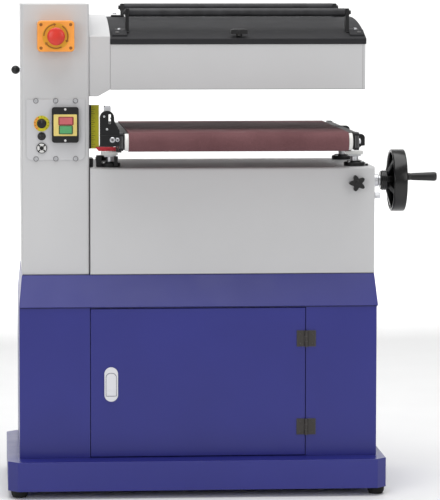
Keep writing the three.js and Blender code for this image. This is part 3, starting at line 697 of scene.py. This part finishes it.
def head_arm():
    s = Span("head_arm")
    wall = 4.0
    inner_front, inner_back = s.front + wall, s.back - wall
    crest = crown(s.front, s.back, s.top - Span("head_lid").top)
    outer = [(s.front, s.bottom), *crest, (s.back, s.bottom)]
    cavity = s.bottom + 22
    under = [(y, z - wall) for y, z in crest if inner_front <= y < inner_back]
    inner = [(inner_front, cavity), *under, (inner_back, s.top - wall), (inner_back, cavity)]
    notch = prism([(s.left + 19.6, s.bottom), (s.left + 19.6, s.bottom - 2), (s.right + 1, s.bottom - 2),
                   (s.right + 1, s.bottom + 16.3)], "y", s.front - 2, s.back + 2)
    shell = carved(prism(outer, "x", s.left, s.right), prism(inner, "x", s.left - 1, s.right + 1), notch)
    piece("arm_casing", shell, "grey_paint", "stand", edge=1.6, replaces=("head_arm",))


def roller(node, left_tail, right_tail, slot, body):
    """A roller whose sleeve stops short of each end of its axle."""
    s = Span(node)
    radius, stub = s.tall / 2, 4
    left, right = s.left + left_tail, s.right - right_tail
    profile = [(0, s.left), (stub, s.left), (stub, left), (radius - 1, left), (radius, left + 1),
               (radius, right - 1), (radius - 1, right), (stub, right), (stub, s.right), (0, s.right)]
    piece(f"{node}_sleeve", lathe(profile, "x", s.y, s.z, 40), slot, body, replaces=(node,))


def return_rollers():
    """The two rollers on the lid with their nuts, and the screw in each bracket's foot."""
    for row, rise in (("front", 0.1), ("rear", 0.02)):
        node = f"return_roller_{row}"
        roller(node, 13, 13, "roller_black", f"{row}_return_roller")
        s = Span(node)
        ends = [bolt(s.left + 4.5, s.y, s.z, -1), bolt(s.right - 4.5, s.y, s.z, 1)]
        piece(f"{node}_nuts", merged(ends), "black_metal", f"{row}_return_roller", edge=0.4)
        for side in SIDES:
            b = Span(f"roller_bracket_{row}_{side}")
            x = b.left + 8.5 if side == "left" else b.right - 8.5
            foot_top = b.bottom + (b.back - b.front) * rise + 6.5
            head = screw(x, b.y, foot_top, 4.6, 3.0, "z", 1)
            piece(f"bracket_screw_{row}_{side}", head, "bright_steel", "lid")


def bracket_pads():
    """A black plate under each roller bracket's foot, lying on the lid's slope."""
    for side in SIDES:
        b = Span(f"roller_bracket_front_{side}")
        inward = 1 if side == "left" else -1
        start = b.left - 9 if side == "left" else b.right + 9
        low, high = sorted((start, start + inward * 34))
        drop = tan(radians(19))
        front, back = b.front - 24, b.front + 8
        low_end, high_end = b.bottom - drop * 24, b.bottom + drop * 8
        slope = [(front, low_end - 1), (back, high_end - 1), (back, high_end + 7), (front, low_end + 7)]
        piece(f"bracket_pad_{side}", prism(slope, "x", low, high), "charcoal_paint", "lid", edge=1.2)
        head = screw(start + inward * 12, front + 13, b.bottom - drop * 11 + 6.5, 5, 3.4, "z", 1)
        piece(f"bracket_pad_screw_{side}", head, "rail_grey", "lid")


def lid_catch_details():
    """A thumb plate and a rivet on the catch."""
    s = Span("lid_catch")
    outline = rounded(s.left - 5, s.right + 5, s.bottom + 5, s.top - 1, [2, 2, 3, 3])
    piece("catch_plate", prism(outline, "y", s.front - 1.2, s.back - 4), "black_plastic", "catch", edge=1.2)
    piece("catch_rivet", screw(s.x, s.front - 1.2, s.z + 3, 3.0, 1.2), "black_metal", "catch")


def lid_hinges():
    """Two butt hinges behind the lid, each with one leaf on the lid and one on the housing."""
    _, y, z = joint_anchor("lid_open")
    housing = Span("head_housing")
    face = housing.back + 1.8
    for i, x in enumerate((housing.left + 90, housing.right - 90)):
        halves = (("fixed", "stand", -1, [(x - 10.5, x + 10.5)]),
                  ("moving", "lid", 1, [(x - 32, x - 11), (x + 11, x + 32)]))
        for half, body, sign, barrels in halves:
            low, high = sorted((z + sign * 2.5, z + sign * 28))
            leaf = box(x - 32, x + 32, housing.back + 0.2, face, low, high)
            knuckles = [lathe([(0, a), (3.6, a), (3.6, b), (0, b)], "x", y, z, 20) for a, b in barrels]
            heads = [screw(x + dx, face, z + sign * 15, 3.2, 1.4, "y", 1) for dx in (-20, 20)]
            piece(f"lid_hinge_{half}_{i}", merged([leaf, *knuckles, *heads]), "hinge_steel", body)


def dust_port():
    s = Span("dust_port")
    radius = s.tall / 2
    bore = radius - 3
    start, end = s.front, s.back
    profile = from_face(start, [(bore, 0), (radius + 6, 0), (radius + 6, 3), (radius, 4.5)])
    profile += from_face(end, [(radius, -9), (radius + 1.6, -8), (radius + 1.6, -5), (radius, -4),
                               (radius - 0.4, -0.5), (bore + 0.6, 0), (bore, -1)])
    profile.append((bore, start))
    collar = lathe(profile, "y", s.x, s.z, 72)
    piece("dust_collar", collar, "black_plastic", "stand", replaces=("dust_port",))
    spots = [(x, start + 3, z) for x, z in four_round(s.x, s.z, radius + 3.2)]
    screws("dust_collar_screws", spots, 2.2, 1.6, "bright_steel", "stand", "y", 1)


# ---- Drum and rollers under the head ----

def drum():
    """The wrap round the drum with its spiral seam, and the two pressure rollers."""
    s = Span("abrasive_wrap")
    radius = s.tall / 2
    left, right = s.left, s.right
    inner = radius - 1.5
    profile = [(inner, left), (radius - 0.3, left), (radius, left + 0.4), (radius, right - 0.4),
               (radius - 0.3, right), (inner, right), (inner, left)]
    sleeve = lathe(profile, "x", s.y, s.z, 96)
    piece("drum_abrasive", sleeve, "abrasive_cloth", "drum", replaces=("abrasive_wrap",))
    turns, steps = 4.0, 320
    path = []
    for k in range(steps + 1):
        share = k / steps
        angle = 2 * pi * turns * share
        path.append((left + 4 + (right - left - 8) * share, *on_circle(s.y, s.z, radius, angle)))
    piece("drum_abrasive_seam", tube(path, 0.35, 6), "abrasive_cloth", "drum")
    for row in ROWS:
        roller(f"pressure_roller_{row}", 6.7, 6, "belt_rubber", f"{row}_pressure_roller")


# ---- Conveyor table ----

def belt_outline(reach, height, y, z, steps):
    """The outline of a belt whose rollers' centres are at a reach either side of its middle."""
    return arc(y + reach, z, height, -90, 90, steps) + arc(y - reach, z, height, 90, 270, steps)


def conveyor_belt():
    s = Span("conveyor_belt")
    half = s.tall / 2
    reach = (s.back - s.front) / 2 - half
    thick = 1.5
    loop = band(belt_outline(reach, half, s.y, s.z, 32), belt_outline(reach, half - thick, s.y, s.z, 32),
                "x", s.left, s.right)
    piece("belt_cloth", loop, "abrasive_cloth", "table", replaces=("conveyor_belt",), crease=50)
    lap = 26
    seam = prism([(s.left + 2, s.y - lap), (s.right - 2, s.y + lap), (s.right - 2, s.y + lap + 1.2),
                  (s.left + 2, s.y - lap + 1.2)], "z", s.top - 0.2, s.top + 0.25)
    piece("belt_seam", seam, "abrasive_cloth", "table")


def conveyor_rollers():
    belt = Span("conveyor_belt")
    for node, body in (("drive_roller", "front_belt_roller"), ("idler_roller", "rear_belt_roller")):
        s = Span(node)
        radius, shoulder, axle = s.tall / 2, 12.0, 6
        left, right = s.left + shoulder, s.right - shoulder
        profile = [(0, s.left), (axle, s.left), (axle, left), (radius - 2, left), (radius - 2, right),
                   (axle, right), (axle, s.right), (0, s.right)]
        piece(f"{node}_core", lathe(profile, "x", s.y, s.z, 48), "bright_steel", body, replaces=(node,))
        for side, start, end in (("left", left, belt.left + 2), ("right", belt.right - 2, right)):
            cap = lathe([(7, start), (radius - 1.2, start), (radius, start + 1), (radius, end - 1),
                         (radius - 1.2, end), (7, end), (7, start)], "x", s.y, s.z, 48)
            piece(f"{node}_cap_{side}", cap, "white_plastic", body)


def rails():
    """The outer faces of the table's two rails, which stand 22 mm outside the belt."""
    belt = Span("conveyor_belt")
    return belt.left - 22, belt.right + 22


def end_brackets():
    """The black bearing block at each end of the table's rails, with its tracking bolt."""
    left_face, right_face = rails()
    width = 11.0
    for row, node, sign in (("front", "drive_roller", -1), ("rear", "idler_roller", 1)):
        axle = Span(node)
        far = axle.y + sign * 16
        low, high = sorted((axle.y - sign * 26, far))
        for side, start in (("left", left_face - 1), ("right", right_face + 1 - width)):
            block = prism(rounded(low, high, axle.z - 19, axle.z + 21, [5] * 4), "x", start, start + width)
            piece(f"bearing_block_{row}_{side}", block, "black_metal", "table", edge=0.9)
            ribs = [box(x + 1.4, x + 3, far - 1.5, far + 1.5, axle.z - 13, axle.z + 14)
                    for x in (start + 3.5 * k for k in range(3))]
            piece(f"bearing_ribs_{row}_{side}", merged(ribs), "rail_grey", "table", edge=0.4)
            outer = left_face - 1 if side == "left" else right_face + 1
            head = bolt(outer, axle.y, axle.z, -1 if side == "left" else 1)
            piece(f"axle_nut_{row}_{side}", head, "bright_steel", "table", edge=0.3)


def table_handles():
    """The two bent flat bars on the table's right rail."""
    belt = Span("conveyor_belt")
    _, face = rails()
    places = (("front", belt.front + 36, belt.top - 5), ("middle", belt.back - 246, belt.top - 0.5))
    for name, y, top in places:
        outer = [(face - 16, top)] + arc(face + 8, top - 9, 9, 90, 0, 8)
        outer += [(face + 17, top - 26), (face + 9, top - 27), (face + 1, top - 34), (face - 5, top - 34)]
        outer += [(face - 5, top - 9), (face - 16, top - 8)]
        hole = [(face, top - 10), (face + 7, top - 10), (face + 8.2, top - 13), (face + 6, top - 19),
                (face, top - 24)]
        hook = carved(prism(outer, "y", y - 6, y + 6), prism(hole, "y", y - 8, y + 8))
        piece(f"table_handle_{name}", hook, "black_metal", "table", edge=0.8)


def table_pads():
    """The pale pads under the ends of the table's rails, one on each post."""
    table = Span("conveyor_table")
    ends = {"left": (table.left - 0.5, table.left + 36.5), "right": (table.right - 38.5, table.right + 0.5)}
    for side, (low, high) in ends.items():
        for row in ROWS:
            post = Span(f"lift_post_{side}_{row}")
            pad = box(low, high, post.y - 19.5, post.y + 19.5, table.bottom - 0.3, table.bottom + 7.4)
            piece(f"rail_pad_{side}_{row}", pad, "pale_steel", "table", edge=0.7)


def gear_motor_details():
    """The cover over the gearbox, its bolts, the clamp on top of the bracket and the pin in its slot."""
    s = Span("gear_motor")
    axle = Span("drive_roller")
    cover = prism(rounded(s.left + 0.6, s.right - 2.4, s.bottom + 0.6, s.bottom + 25, [2, 2, 3, 3]), "y",
                  s.front - 1.6, s.front - 0.1)
    piece("gearbox_cover", cover, "black_metal", "table", edge=0.5)
    front = s.front - 1.6
    heads = [(s.left + 28, 6.2, 3.0), (s.left + 39.2, 4.6, 2.2)]
    washers = [screw(x, front, axle.z + 6.8, radius, 2.4) for x, radius, _ in heads]
    piece("gearbox_washers", merged(washers), "bright_steel", "table")
    sockets = [screw(x, front - 2.2, axle.z + 6.8, radius, 0.8) for x, _, radius in heads]
    piece("gearbox_bolts", merged(sockets), "rail_grey", "table")
    spots = [(s.left + 9.7, s.front, s.bottom + 67), (s.left + 16, s.front, s.bottom + 38.4)]
    screws("bracket_screws", spots, 2.6, 1.2, "bright_steel", "table")
    piece("slot_pin", screw(s.left + 25.6, s.front, s.bottom + 63, 2.4, 3), "black_metal", "table")
    middle = s.left + 17
    outline = rounded(middle - 7.6, middle + 7.6, s.top - 13, s.top + 0.6, [2, 2, 5, 5])
    clamp = prism(outline, "y", s.front + 1.5, s.front + 9.5)
    piece("bracket_clamp", clamp, "bright_steel", "table", edge=1.6)


def posts_and_flanges():
    """Dark flanges, each with a collar round its post, and their screws."""
    for side in SIDES:
        for row in ROWS:
            node = f"lift_flange_{side}_{row}"
            s = Span(node)
            radius = s.wide / 2
            bore = 9.6
            profile = from_face(s.bottom, [(bore, 0), (radius, 0), (radius, 7), (radius - 2, 9), (17, 9.5)])
            profile += [(16, s.top), (bore, s.top), (bore, s.bottom)]
            casting = lathe(profile, "z", s.x, s.y, 56)
            piece(f"{node}_casting", casting, "black_metal", "stand", replaces=(node,))
            spots = [(x, y, s.bottom + 8.6) for x, y in four_round(s.x, s.y, 20)]
            screws(f"{node}_screws", spots, 3.0, 2.4, "bright_steel", "stand", "z", 1)


def lift_blocks():
    """Black stops beside the front left flange, and small black screws beside the right ones."""
    s = Span("lift_flange_left_front")
    outer = box(s.left - 6.6, s.left + 4.9, s.y - 15, s.y + 15, s.bottom, s.bottom + 26)
    inner = box(s.right - 16, s.right - 7, s.y - 28, s.y - 20.5, s.bottom, s.bottom + 25)
    piece("lift_stops", merged([outer, inner]), "black_metal", "stand", edge=1.0)
    for row in ROWS:
        r = Span(f"lift_flange_right_{row}")
        piece(f"bed_screw_{row}", screw(r.right + 4, r.y, r.bottom, 3.4, 4, "z", 1), "black_metal", "stand")


def pointer_mount():
    s = Span("height_pointer")
    spots = [(s.right - 8, s.front, s.z), (s.right - 18, s.front, s.z)]
    screws("pointer_screws", spots, 2.4, 1.2, "red_paint", "table")


# ---- Hand controls ----

def handwheel():
    """A dished wheel: a wide flat rim, a closed web with ribs towards the machine, and a hub."""
    s = Span("handwheel")
    _, y, z = joint_anchor("handwheel_turn")
    radius = s.tall / 2
    inner = radius - 7
    rim_right = s.right
    rim_left = rim_right - 32
    web_left, web_right = rim_right - 12, rim_right - 6
    shaft, hub, hub_left = 8.0, 22.5, rim_right - 56
    rim_edge = arc(0, 0, 3, 0, 90, 4)
    left_edge = [(inner + 3 - a, rim_left + 3 - b) for a, b in rim_edge]
    left_outer = [(radius - 3 + b, rim_left + 3 - a) for a, b in rim_edge]
    right_outer = [(radius - 3 + a, rim_right - 3 + b) for a, b in rim_edge]
    profile = [(0, s.left), (shaft, s.left), (shaft, hub_left), (hub - 2, hub_left), (hub, hub_left + 2),
               (hub, web_left - 3), (hub + 3, web_left), (inner - 3, web_left), (inner, web_left - 3)]
    profile += left_edge + left_outer + right_outer
    profile += [(inner + 2, rim_right), (inner - 3, web_right), (hub + 2, web_right)]
    profile += from_face(rim_right, [(hub - 1, -1.5), (hub - 4, 0), (9, 0), (8, -3), (0, -3)])
    wheel = lathe(profile, "x", y, z, 96)
    crank = Span("crank_handle")
    hole = lathe([(0, web_left - 6), (4.6, web_left - 6), (4.6, rim_right + 2), (0, rim_right + 2)], "x",
                 crank.y, crank.z, 24)
    piece("wheel_casting", carved(wheel, hole), "gloss_black", "wheel", replaces=("handwheel",), crease=32)
    outline = [(hub_left + 13, hub - 2), (rim_left + 2.5, inner + 1), (rim_left + 11, inner + 1),
               (hub_left + 24, hub - 2)]
    spokes = [turned(prism(outline, "y", -6.5, 6.5), 40 + 72 * k, "X", (0, y, z)) for k in range(5)]
    piece("wheel_spokes", merged(spokes), "gloss_black", "wheel", edge=1.6)
    band_shape = [(hub - 1, 0), (hub + 0.9, 0.4), (hub + 0.9, 1.8), (hub - 1, 2.2)]
    bands = [lathe(from_face(hub_left + 5 + 4 * k, band_shape), "x", y, z, 48) for k in range(3)]
    piece("hub_bands", merged(bands), "black_plastic", "wheel")


def crank_handle():
    s = Span("crank_handle")
    start, end = s.left + 10, s.right
    tip = s.tall / 2
    base = tip - 2
    profile = [(0, s.left), (4, s.left)]
    profile += from_face(start, [(4, 0), (base - 1, 0), (base, 1), (base, 5), (base - 0.8, 7), (base, 10)])
    profile += from_face(end, [(tip, -7), (tip - 0.4, -3), (tip - 2.5, -0.6), (tip - 5, 0), (0, 0)])
    grip = lathe(profile, "x", s.y, s.z, 48)
    piece("crank_grip", grip, "black_plastic", "crank", replaces=("crank_handle",))


def star_knob():
    s = Span("star_knob")
    x, _, z = joint_anchor("star_knob_turn")
    neck_back = Span("bed_casing").front - 0.3
    lobes, radius, lobe = 5, 15.0, 4.0
    steps = lobes * 16
    turns = [2 * pi * k / steps for k in range(steps)]
    outline = [on_circle(x, z, radius + lobe * cos(lobes * (turn - pi)), turn) for turn in turns]
    head = prism(outline, "y", s.front, s.front + 15)
    piece("star_head", head, "black_plastic", "star", edge=3.0, replaces=("star_knob",))
    neck = [(0, s.front + 14), (11, s.front + 14), (9, neck_back - 1), (8, neck_back), (4, neck_back),
            (4, s.back), (0, s.back)]
    piece("star_neck", lathe(neck, "y", x, z, 32), "black_plastic", "star")
    cap = from_face(s.front, [(0, -1.5), (5, -1.2), (6.5, 0.4), (0, 0.4)])
    piece("star_cap", lathe(cap, "y", x, z, 32), "black_plastic", "star")


def ball_knob():
    s = Span("side_knob")
    radius = s.tall / 2
    centre = s.left + radius
    stem_angle = 20
    ball = [(radius * sin(radians(a)), centre - radius * cos(radians(a)))
            for a in range(0, 181 - stem_angle, 8)]
    ball[0] = (0, s.left)
    profile = ball + [(4.2, centre + radius - 0.6), (3, centre + radius + 0.6), (3, s.right), (0, s.right)]
    piece("ball_grip", lathe(profile, "x", s.y, s.z, 40), "black_plastic", "ball", replaces=("side_knob",))
    wall = Span("column").left
    collar = from_face(wall, [(3.6, -2.2), (7, -2.2), (8, -0.6), (8, 0), (3.6, 0), (3.6, -2.2)])
    piece("ball_collar", lathe(collar, "x", s.y, s.z, 32), "bright_steel", "stand")


def height_scale():
    """The scale's black edge and its graduations."""
    s = Span("height_scale")
    front = s.front
    edge = box(s.left, s.left + 5.6, front - 0.5, front + 0.1, s.bottom, s.top)
    marks = []
    count = 20
    for k in range(1, count):
        z = s.bottom + s.tall * k / count
        length = 8.0 if k % 2 == 0 else 4.5
        marks.append(box(s.left + 6.2, s.left + 6.2 + length, front - 0.3, front + 0.1, z - 0.35, z + 0.35))
    piece("scale_edge", edge, "black_plastic", "stand")
    piece("scale_marks", merged(marks), "black_plastic", "stand")


# ---- Control panel ----

def panel_screws():
    s = Span("control_plate")
    switch = Span("switch_frame")
    xs = (s.left + 22, s.x, s.right - 22)
    spots = [(x, z) for x in xs for z in (s.bottom + 3, s.top - 3)]
    # The darker ring under each screw head is painted shade below the head.
    screws("panel_screw_shade_rings", [(x, s.front, z) for x, z in spots], 6.2, 0.8, "panel_shadow", "stand")
    screws("panel_screws", [(x, s.front - 0.6, z) for x, z in spots], 4.6, 2.8, "bright_steel", "stand")
    ends = [(switch.x, switch.front, z) for z in (switch.bottom + 5, switch.top - 5)]
    screws("switch_screws", ends, 2.7, 0.8, "pale_steel", "stand")


def painted_seam_shadows():
    """Dark strips at the joints under the hood's edge, at the foot of the column and the bed, and on the head:
    painted shadow in each joint.
    """
    hood, head = Span("cabinet_hood"), Span("head_housing")
    # Painted shadow: a dark blue strip under the hood's overhanging lower edge.
    edge = box(hood.left + 2, hood.right - 2, hood.front + 0.6, hood.front + 3,
               hood.bottom - 1.7, hood.bottom + 0.1)
    piece("hood_painted_shadow_line", edge, "joint_blue", "stand")
    # Painted shadow: dark grey strips at the foot of the column and of the bed.
    lines = [box(s.left + 1, s.right - 1, s.front - 0.15, s.front + 2, s.bottom + 0.1, s.bottom + 1.5)
             for s in (Span("column"), Span("bed_casing"))]
    piece("casing_painted_shadow_lines", merged(lines), "rail_grey", "stand")
    # Painted shadow: a dark strip in the joint at the head's right end.
    end = head.right - 5.5
    line = box(end - 0.9, end, head.front - 0.12, head.front + 1, head.bottom + 1, head.top - 1)
    piece("head_end_painted_shadow_line", line, "panel_shadow", "stand")
    # Painted shadow: a dark strip under the head's folded lower edge.
    lip = box(head.left + 1, head.right - 1, head.front - 0.2, head.front + 2,
              head.bottom + 0.2, head.bottom + 1.4)
    piece("head_fold_painted_shadow", lip, "panel_shadow", "stand")


def switch_label():
    """The cream label with a window for each push button, and a coloured rim round each window."""
    s = Span("switch_frame")
    face = s.front
    outline = rounded(s.left + 4, s.right - 4, s.bottom + 15.5, s.top - 16.5, [2] * 4)
    label = prism(outline, "y", face - 0.4, face + 0.2)
    buttons = {"stop_rim": Span("stop_button"), "start_rim": Span("start_button")}
    windows = [box(b.left - 0.6, b.right + 0.6, face - 2, face + 2, b.bottom - 0.6, b.top + 0.6)
               for b in buttons.values()]
    piece("switch_label", carved(label, *windows), "label_cream", "stand")
    for slot, b in buttons.items():
        outer = rounded(b.left - 2.4, b.right + 2.4, b.bottom - 1.6, b.top + 1.6, [2.5] * 4)
        inner = rounded(b.left - 0.5, b.right + 0.5, b.bottom - 0.5, b.top + 0.5, [1.2] * 4)
        piece(f"switch_{slot}", band(outer, inner, "y", face - 1.2, face - 0.2), slot, "stand", edge=0.25)


def speed_dial():
    s = Span("speed_dial")
    x, _, z = joint_anchor("dial_turn")
    face = Span("control_plate").front
    ring = from_face(face, [(11, 0), (18, 0), (18, -0.7), (11, -0.7), (11, 0)])
    piece("dial_ring", lathe(ring, "y", x, z, 64), "dial_yellow", "stand")
    seat = from_face(face, [(0, -0.05), (11.2, -0.05), (11.2, -0.5), (0, -0.5)])
    piece("dial_seat", lathe(seat, "y", x, z, 48), "black_plastic", "stand")
    warm = arc(x, z, 17.4, 120, 240, 20) + arc(x, z, 12.2, 240, 120, 20)
    piece("dial_arc", prism(warm, "y", face - 1.0, face - 0.6), "amber_plastic", "stand")
    ticks = [turned(box(14, 17.2, -0.2, 0.2, -0.35, 0.35), 27 * k - 225, "Y", (x, face - 0.95, z))
             for k in range(11)]
    piece("dial_ticks", merged(ticks), "black_plastic", "stand")
    radius, flutes = 10.0, 24
    steps = flutes * 4
    outline = [on_circle(x, z, radius - 0.35 * (k % 4 in (0, 1)), 2 * pi * k / steps) for k in range(steps)]
    front = s.front + 2
    grip = prism(outline, "y", front, face - 0.9)
    piece("dial_grip", grip, "black_plastic", "dial", edge=0.25, replaces=("speed_dial",))
    cap = from_face(front, [(0, -1.2), (7.5, -1.0), (8.8, 0.3), (0, 0.3)])
    piece("dial_cap", lathe(cap, "y", x, z, 40), "black_plastic", "dial")
    line = box(x - 0.5, x + 0.5, s.front, front - 0.6, z + 2, z + 8.4)
    piece("dial_line", line, "rail_grey", "dial", edge=0.2)


def reset_button():
    s = Span("reset_button")
    radius = s.wide / 2
    face = Span("control_plate").front
    cap = [(0, s.front), (radius - 2, s.front + 0.2), (radius - 0.8, s.front + 1), (radius - 0.6, s.back),
           (0, s.back)]
    piece("reset_cap", lathe(cap, "y", s.x, s.z, 40), "black_plastic", "reset", replaces=("reset_button",))
    bore = radius - 0.3
    bezel = from_face(face, [(bore, 0), (radius + 2, 0), (radius + 1.6, -2.6), (radius + 0.6, -3.2),
                             (bore, -3.2), (bore, 0)])
    piece("reset_bezel", lathe(bezel, "y", s.x, s.z, 40), "black_plastic", "stand")


def power_socket():
    """A round socket: a black rim, a silver ring with four notches and a black core."""
    s = Span("power_socket")
    radius, front = s.wide / 2, s.front
    rim = from_face(front, [(10, 1.6), (radius, 2.2)]) + [(radius, s.back), (0, s.back)]
    rim += from_face(front, [(0, 3.4), (7.8, 3.4), (8.2, 1.6), (10, 1.6)])
    piece("socket_rim", lathe(rim, "y", s.x, s.z, 48), "black_plastic", "stand", replaces=("power_socket",))
    ring = from_face(front, [(4.6, 2.4), (5.2, 0), (9.6, 0), (10.4, 1), (10.4, 2.4), (4.6, 2.4)])
    notches = [turned(box(5.6, 12, -2.2, 3, -1.7, 1.7), 90 * k + 45, "Y", (s.x, front, s.z)) for k in range(4)]
    ring_mesh = carved(lathe(ring, "y", s.x, s.z, 64), *notches)
    piece("socket_ring", ring_mesh, "pale_steel", "stand", edge=0.3)
    core = from_face(front, [(0, 0.6), (3.2, 0.6), (4.2, 1.4), (4.4, 3), (0, 3)])
    piece("socket_core", lathe(core, "y", s.x, s.z, 40), "black_plastic", "stand")


def emergency_stop():
    """The mushroom head on its collar, a ring of plain marks round it, and the box's corner screws."""
    s = Span("estop_button")
    case = Span("estop_box")
    radius = s.wide / 2
    face, front = case.front, s.front
    dome = [(radius * sin(radians(a)), front + 5.5 - 5.5 * cos(radians(a))) for a in range(0, 91, 9)]
    dome[0] = (0, front)
    under = from_face(front, [(radius, 8), (radius - 0.6, 10.5), (radius - 3, 13), (radius - 7, 15.5),
                              (10, 16.5)])
    under += [(10, s.back), (0, s.back)]
    piece("mushroom_head", lathe(dome + under, "y", s.x, s.z, 72), "red_plastic", "mushroom",
          replaces=("estop_button",))
    collar = from_face(face, [(10.8, 0.2), (16.5, 0.2), (16.5, -1.6), (15.2, -2.6), (10.8, -2.6),
                              (10.8, 0.2)])
    piece("mushroom_collar", lathe(collar, "y", s.x, s.z, 56), "black_plastic", "stand")
    disc = from_face(face, [(16, 0.1), (30.5, 0.1), (30.5, -0.3), (16, -0.3), (16, 0.1)])
    piece("mushroom_disc", lathe(disc, "y", s.x, s.z, 72), "disc_yellow", "stand")
    marks = []
    for k in range(3):
        start = 100 + 120 * k
        shaft = arc(s.x, s.z, 28.5, start, start + 78, 16) + arc(s.x, s.z, 25.6, start + 78, start, 16)
        marks.append(prism(shaft, "y", face - 0.6, face - 0.1))
        head = [on_circle(s.x, s.z, reach, radians(angle))
                for reach, angle in ((27, start - 12), (31, start), (23, start))]
        marks.append(prism(head, "y", face - 0.6, face - 0.1))
    piece("mushroom_marks", merged(marks), "mark_amber", "stand")
    inset = 8.5
    spots = [(x, face, z) for x in (case.left + inset, case.right - inset)
             for z in (case.bottom + inset, case.top - inset)]
    screws("estop_screws", spots, 3.6, 0.9, "mark_amber", "stand")


# ---- Surroundings ----

def stage_surface():
    s = Surface("pale floor", 0.6)
    s.color(s.ramp(s.noise(3.0, 4.0), 0.3, 0.7, (0.93, 0.93, 0.93, 1), (0.96, 0.96, 0.96, 1)))
    s.bump((s.noise(60.0, 3.0), 0.03, 0.3))
    return s.material


def stage():
    """A pale floor that curves up into a backdrop, a long way behind."""
    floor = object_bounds()[0].z
    half, bend, height = 14.0, 3.0, 9.0
    profile = [(-half, floor)] + [(y, floor + z) for y, z in arc(half - bend, bend, bend, -90, 0, 16)]
    profile.append((half, floor + height))
    bm = bmesh.new()
    rows = [[bm.verts.new((x, y, z)) for y, z in profile] for x in (-half * 1.5, half * 1.5)]
    for i in range(len(profile) - 1):
        bm.faces.new((rows[0][i], rows[1][i], rows[1][i + 1], rows[0][i + 1]))
    mesh = bpy.data.meshes.new("floor")
    bm.to_mesh(mesh)
    bm.free()
    mesh.shade_smooth()
    mesh.materials.append(stage_surface())
    obj = linked("floor", mesh)
    obj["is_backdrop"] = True


def area_light(name, location, target, size, power):
    light = bpy.data.lights.new(name, "AREA")
    light.shape = "RECTANGLE"
    light.size, light.size_y = size
    light.energy = power
    obj = linked(name, light)
    obj.location = location
    obj.rotation_mode = "QUATERNION"
    obj.rotation_quaternion = (Vector(target) - Vector(location)).to_track_quat("-Z", "Y")


def lights():
    middle = (0, 0, 0.6)
    area_light("overhead", (-0.2, -0.2, 4.2), middle, (4.6, 4.6), 165)
    area_light("front left", (-3.2, -5.4, 2.2), middle, (2.6, 2.6), 66)
    area_light("front right", (3.2, -5.0, 2.4), middle, (2.4, 2.4), 46)
    area_light("backdrop", (0, 4.0, 4.5), (0, 13.0, 1.5), (8.0, 3.0), 900)
    world = bpy.data.worlds.new("studio")
    world.use_nodes = True
    sky = world.node_tree.nodes["Background"]
    sky.inputs["Color"].default_value = (1, 1, 1, 1)
    sky.inputs["Strength"].default_value = 0.38
    bpy.context.scene.world = world


def camera():
    """A long lens, a little above and to the left of the machine's middle."""
    data = bpy.data.cameras.new("camera")
    data.sensor_width = SENSOR
    data.lens = LENS
    data.shift_x, data.shift_y = SHIFT
    obj = linked("camera", data)
    obj.location = EYE
    obj.rotation_euler = (radians(90 - LOOK_DOWN), 0, -radians(LOOK_RIGHT))
    bpy.context.scene.camera = obj
    bpy.context.scene.view_settings.view_transform = "Standard"


finish_nodes()
feet()
hinge_leaves()
latch_details()
bed_bracket()
head_lid()
head_arm()
return_rollers()
bracket_pads()
lid_catch_details()
lid_hinges()
dust_port()
drum()
conveyor_belt()
conveyor_rollers()
end_brackets()
table_handles()
table_pads()
gear_motor_details()
posts_and_flanges()
lift_blocks()
pointer_mount()
handwheel()
crank_handle()
star_knob()
ball_knob()
height_scale()
panel_screws()
painted_seam_shadows()
switch_label()
speed_dial()
reset_button()
power_socket()
emergency_stop()
stage()
lights()
camera()
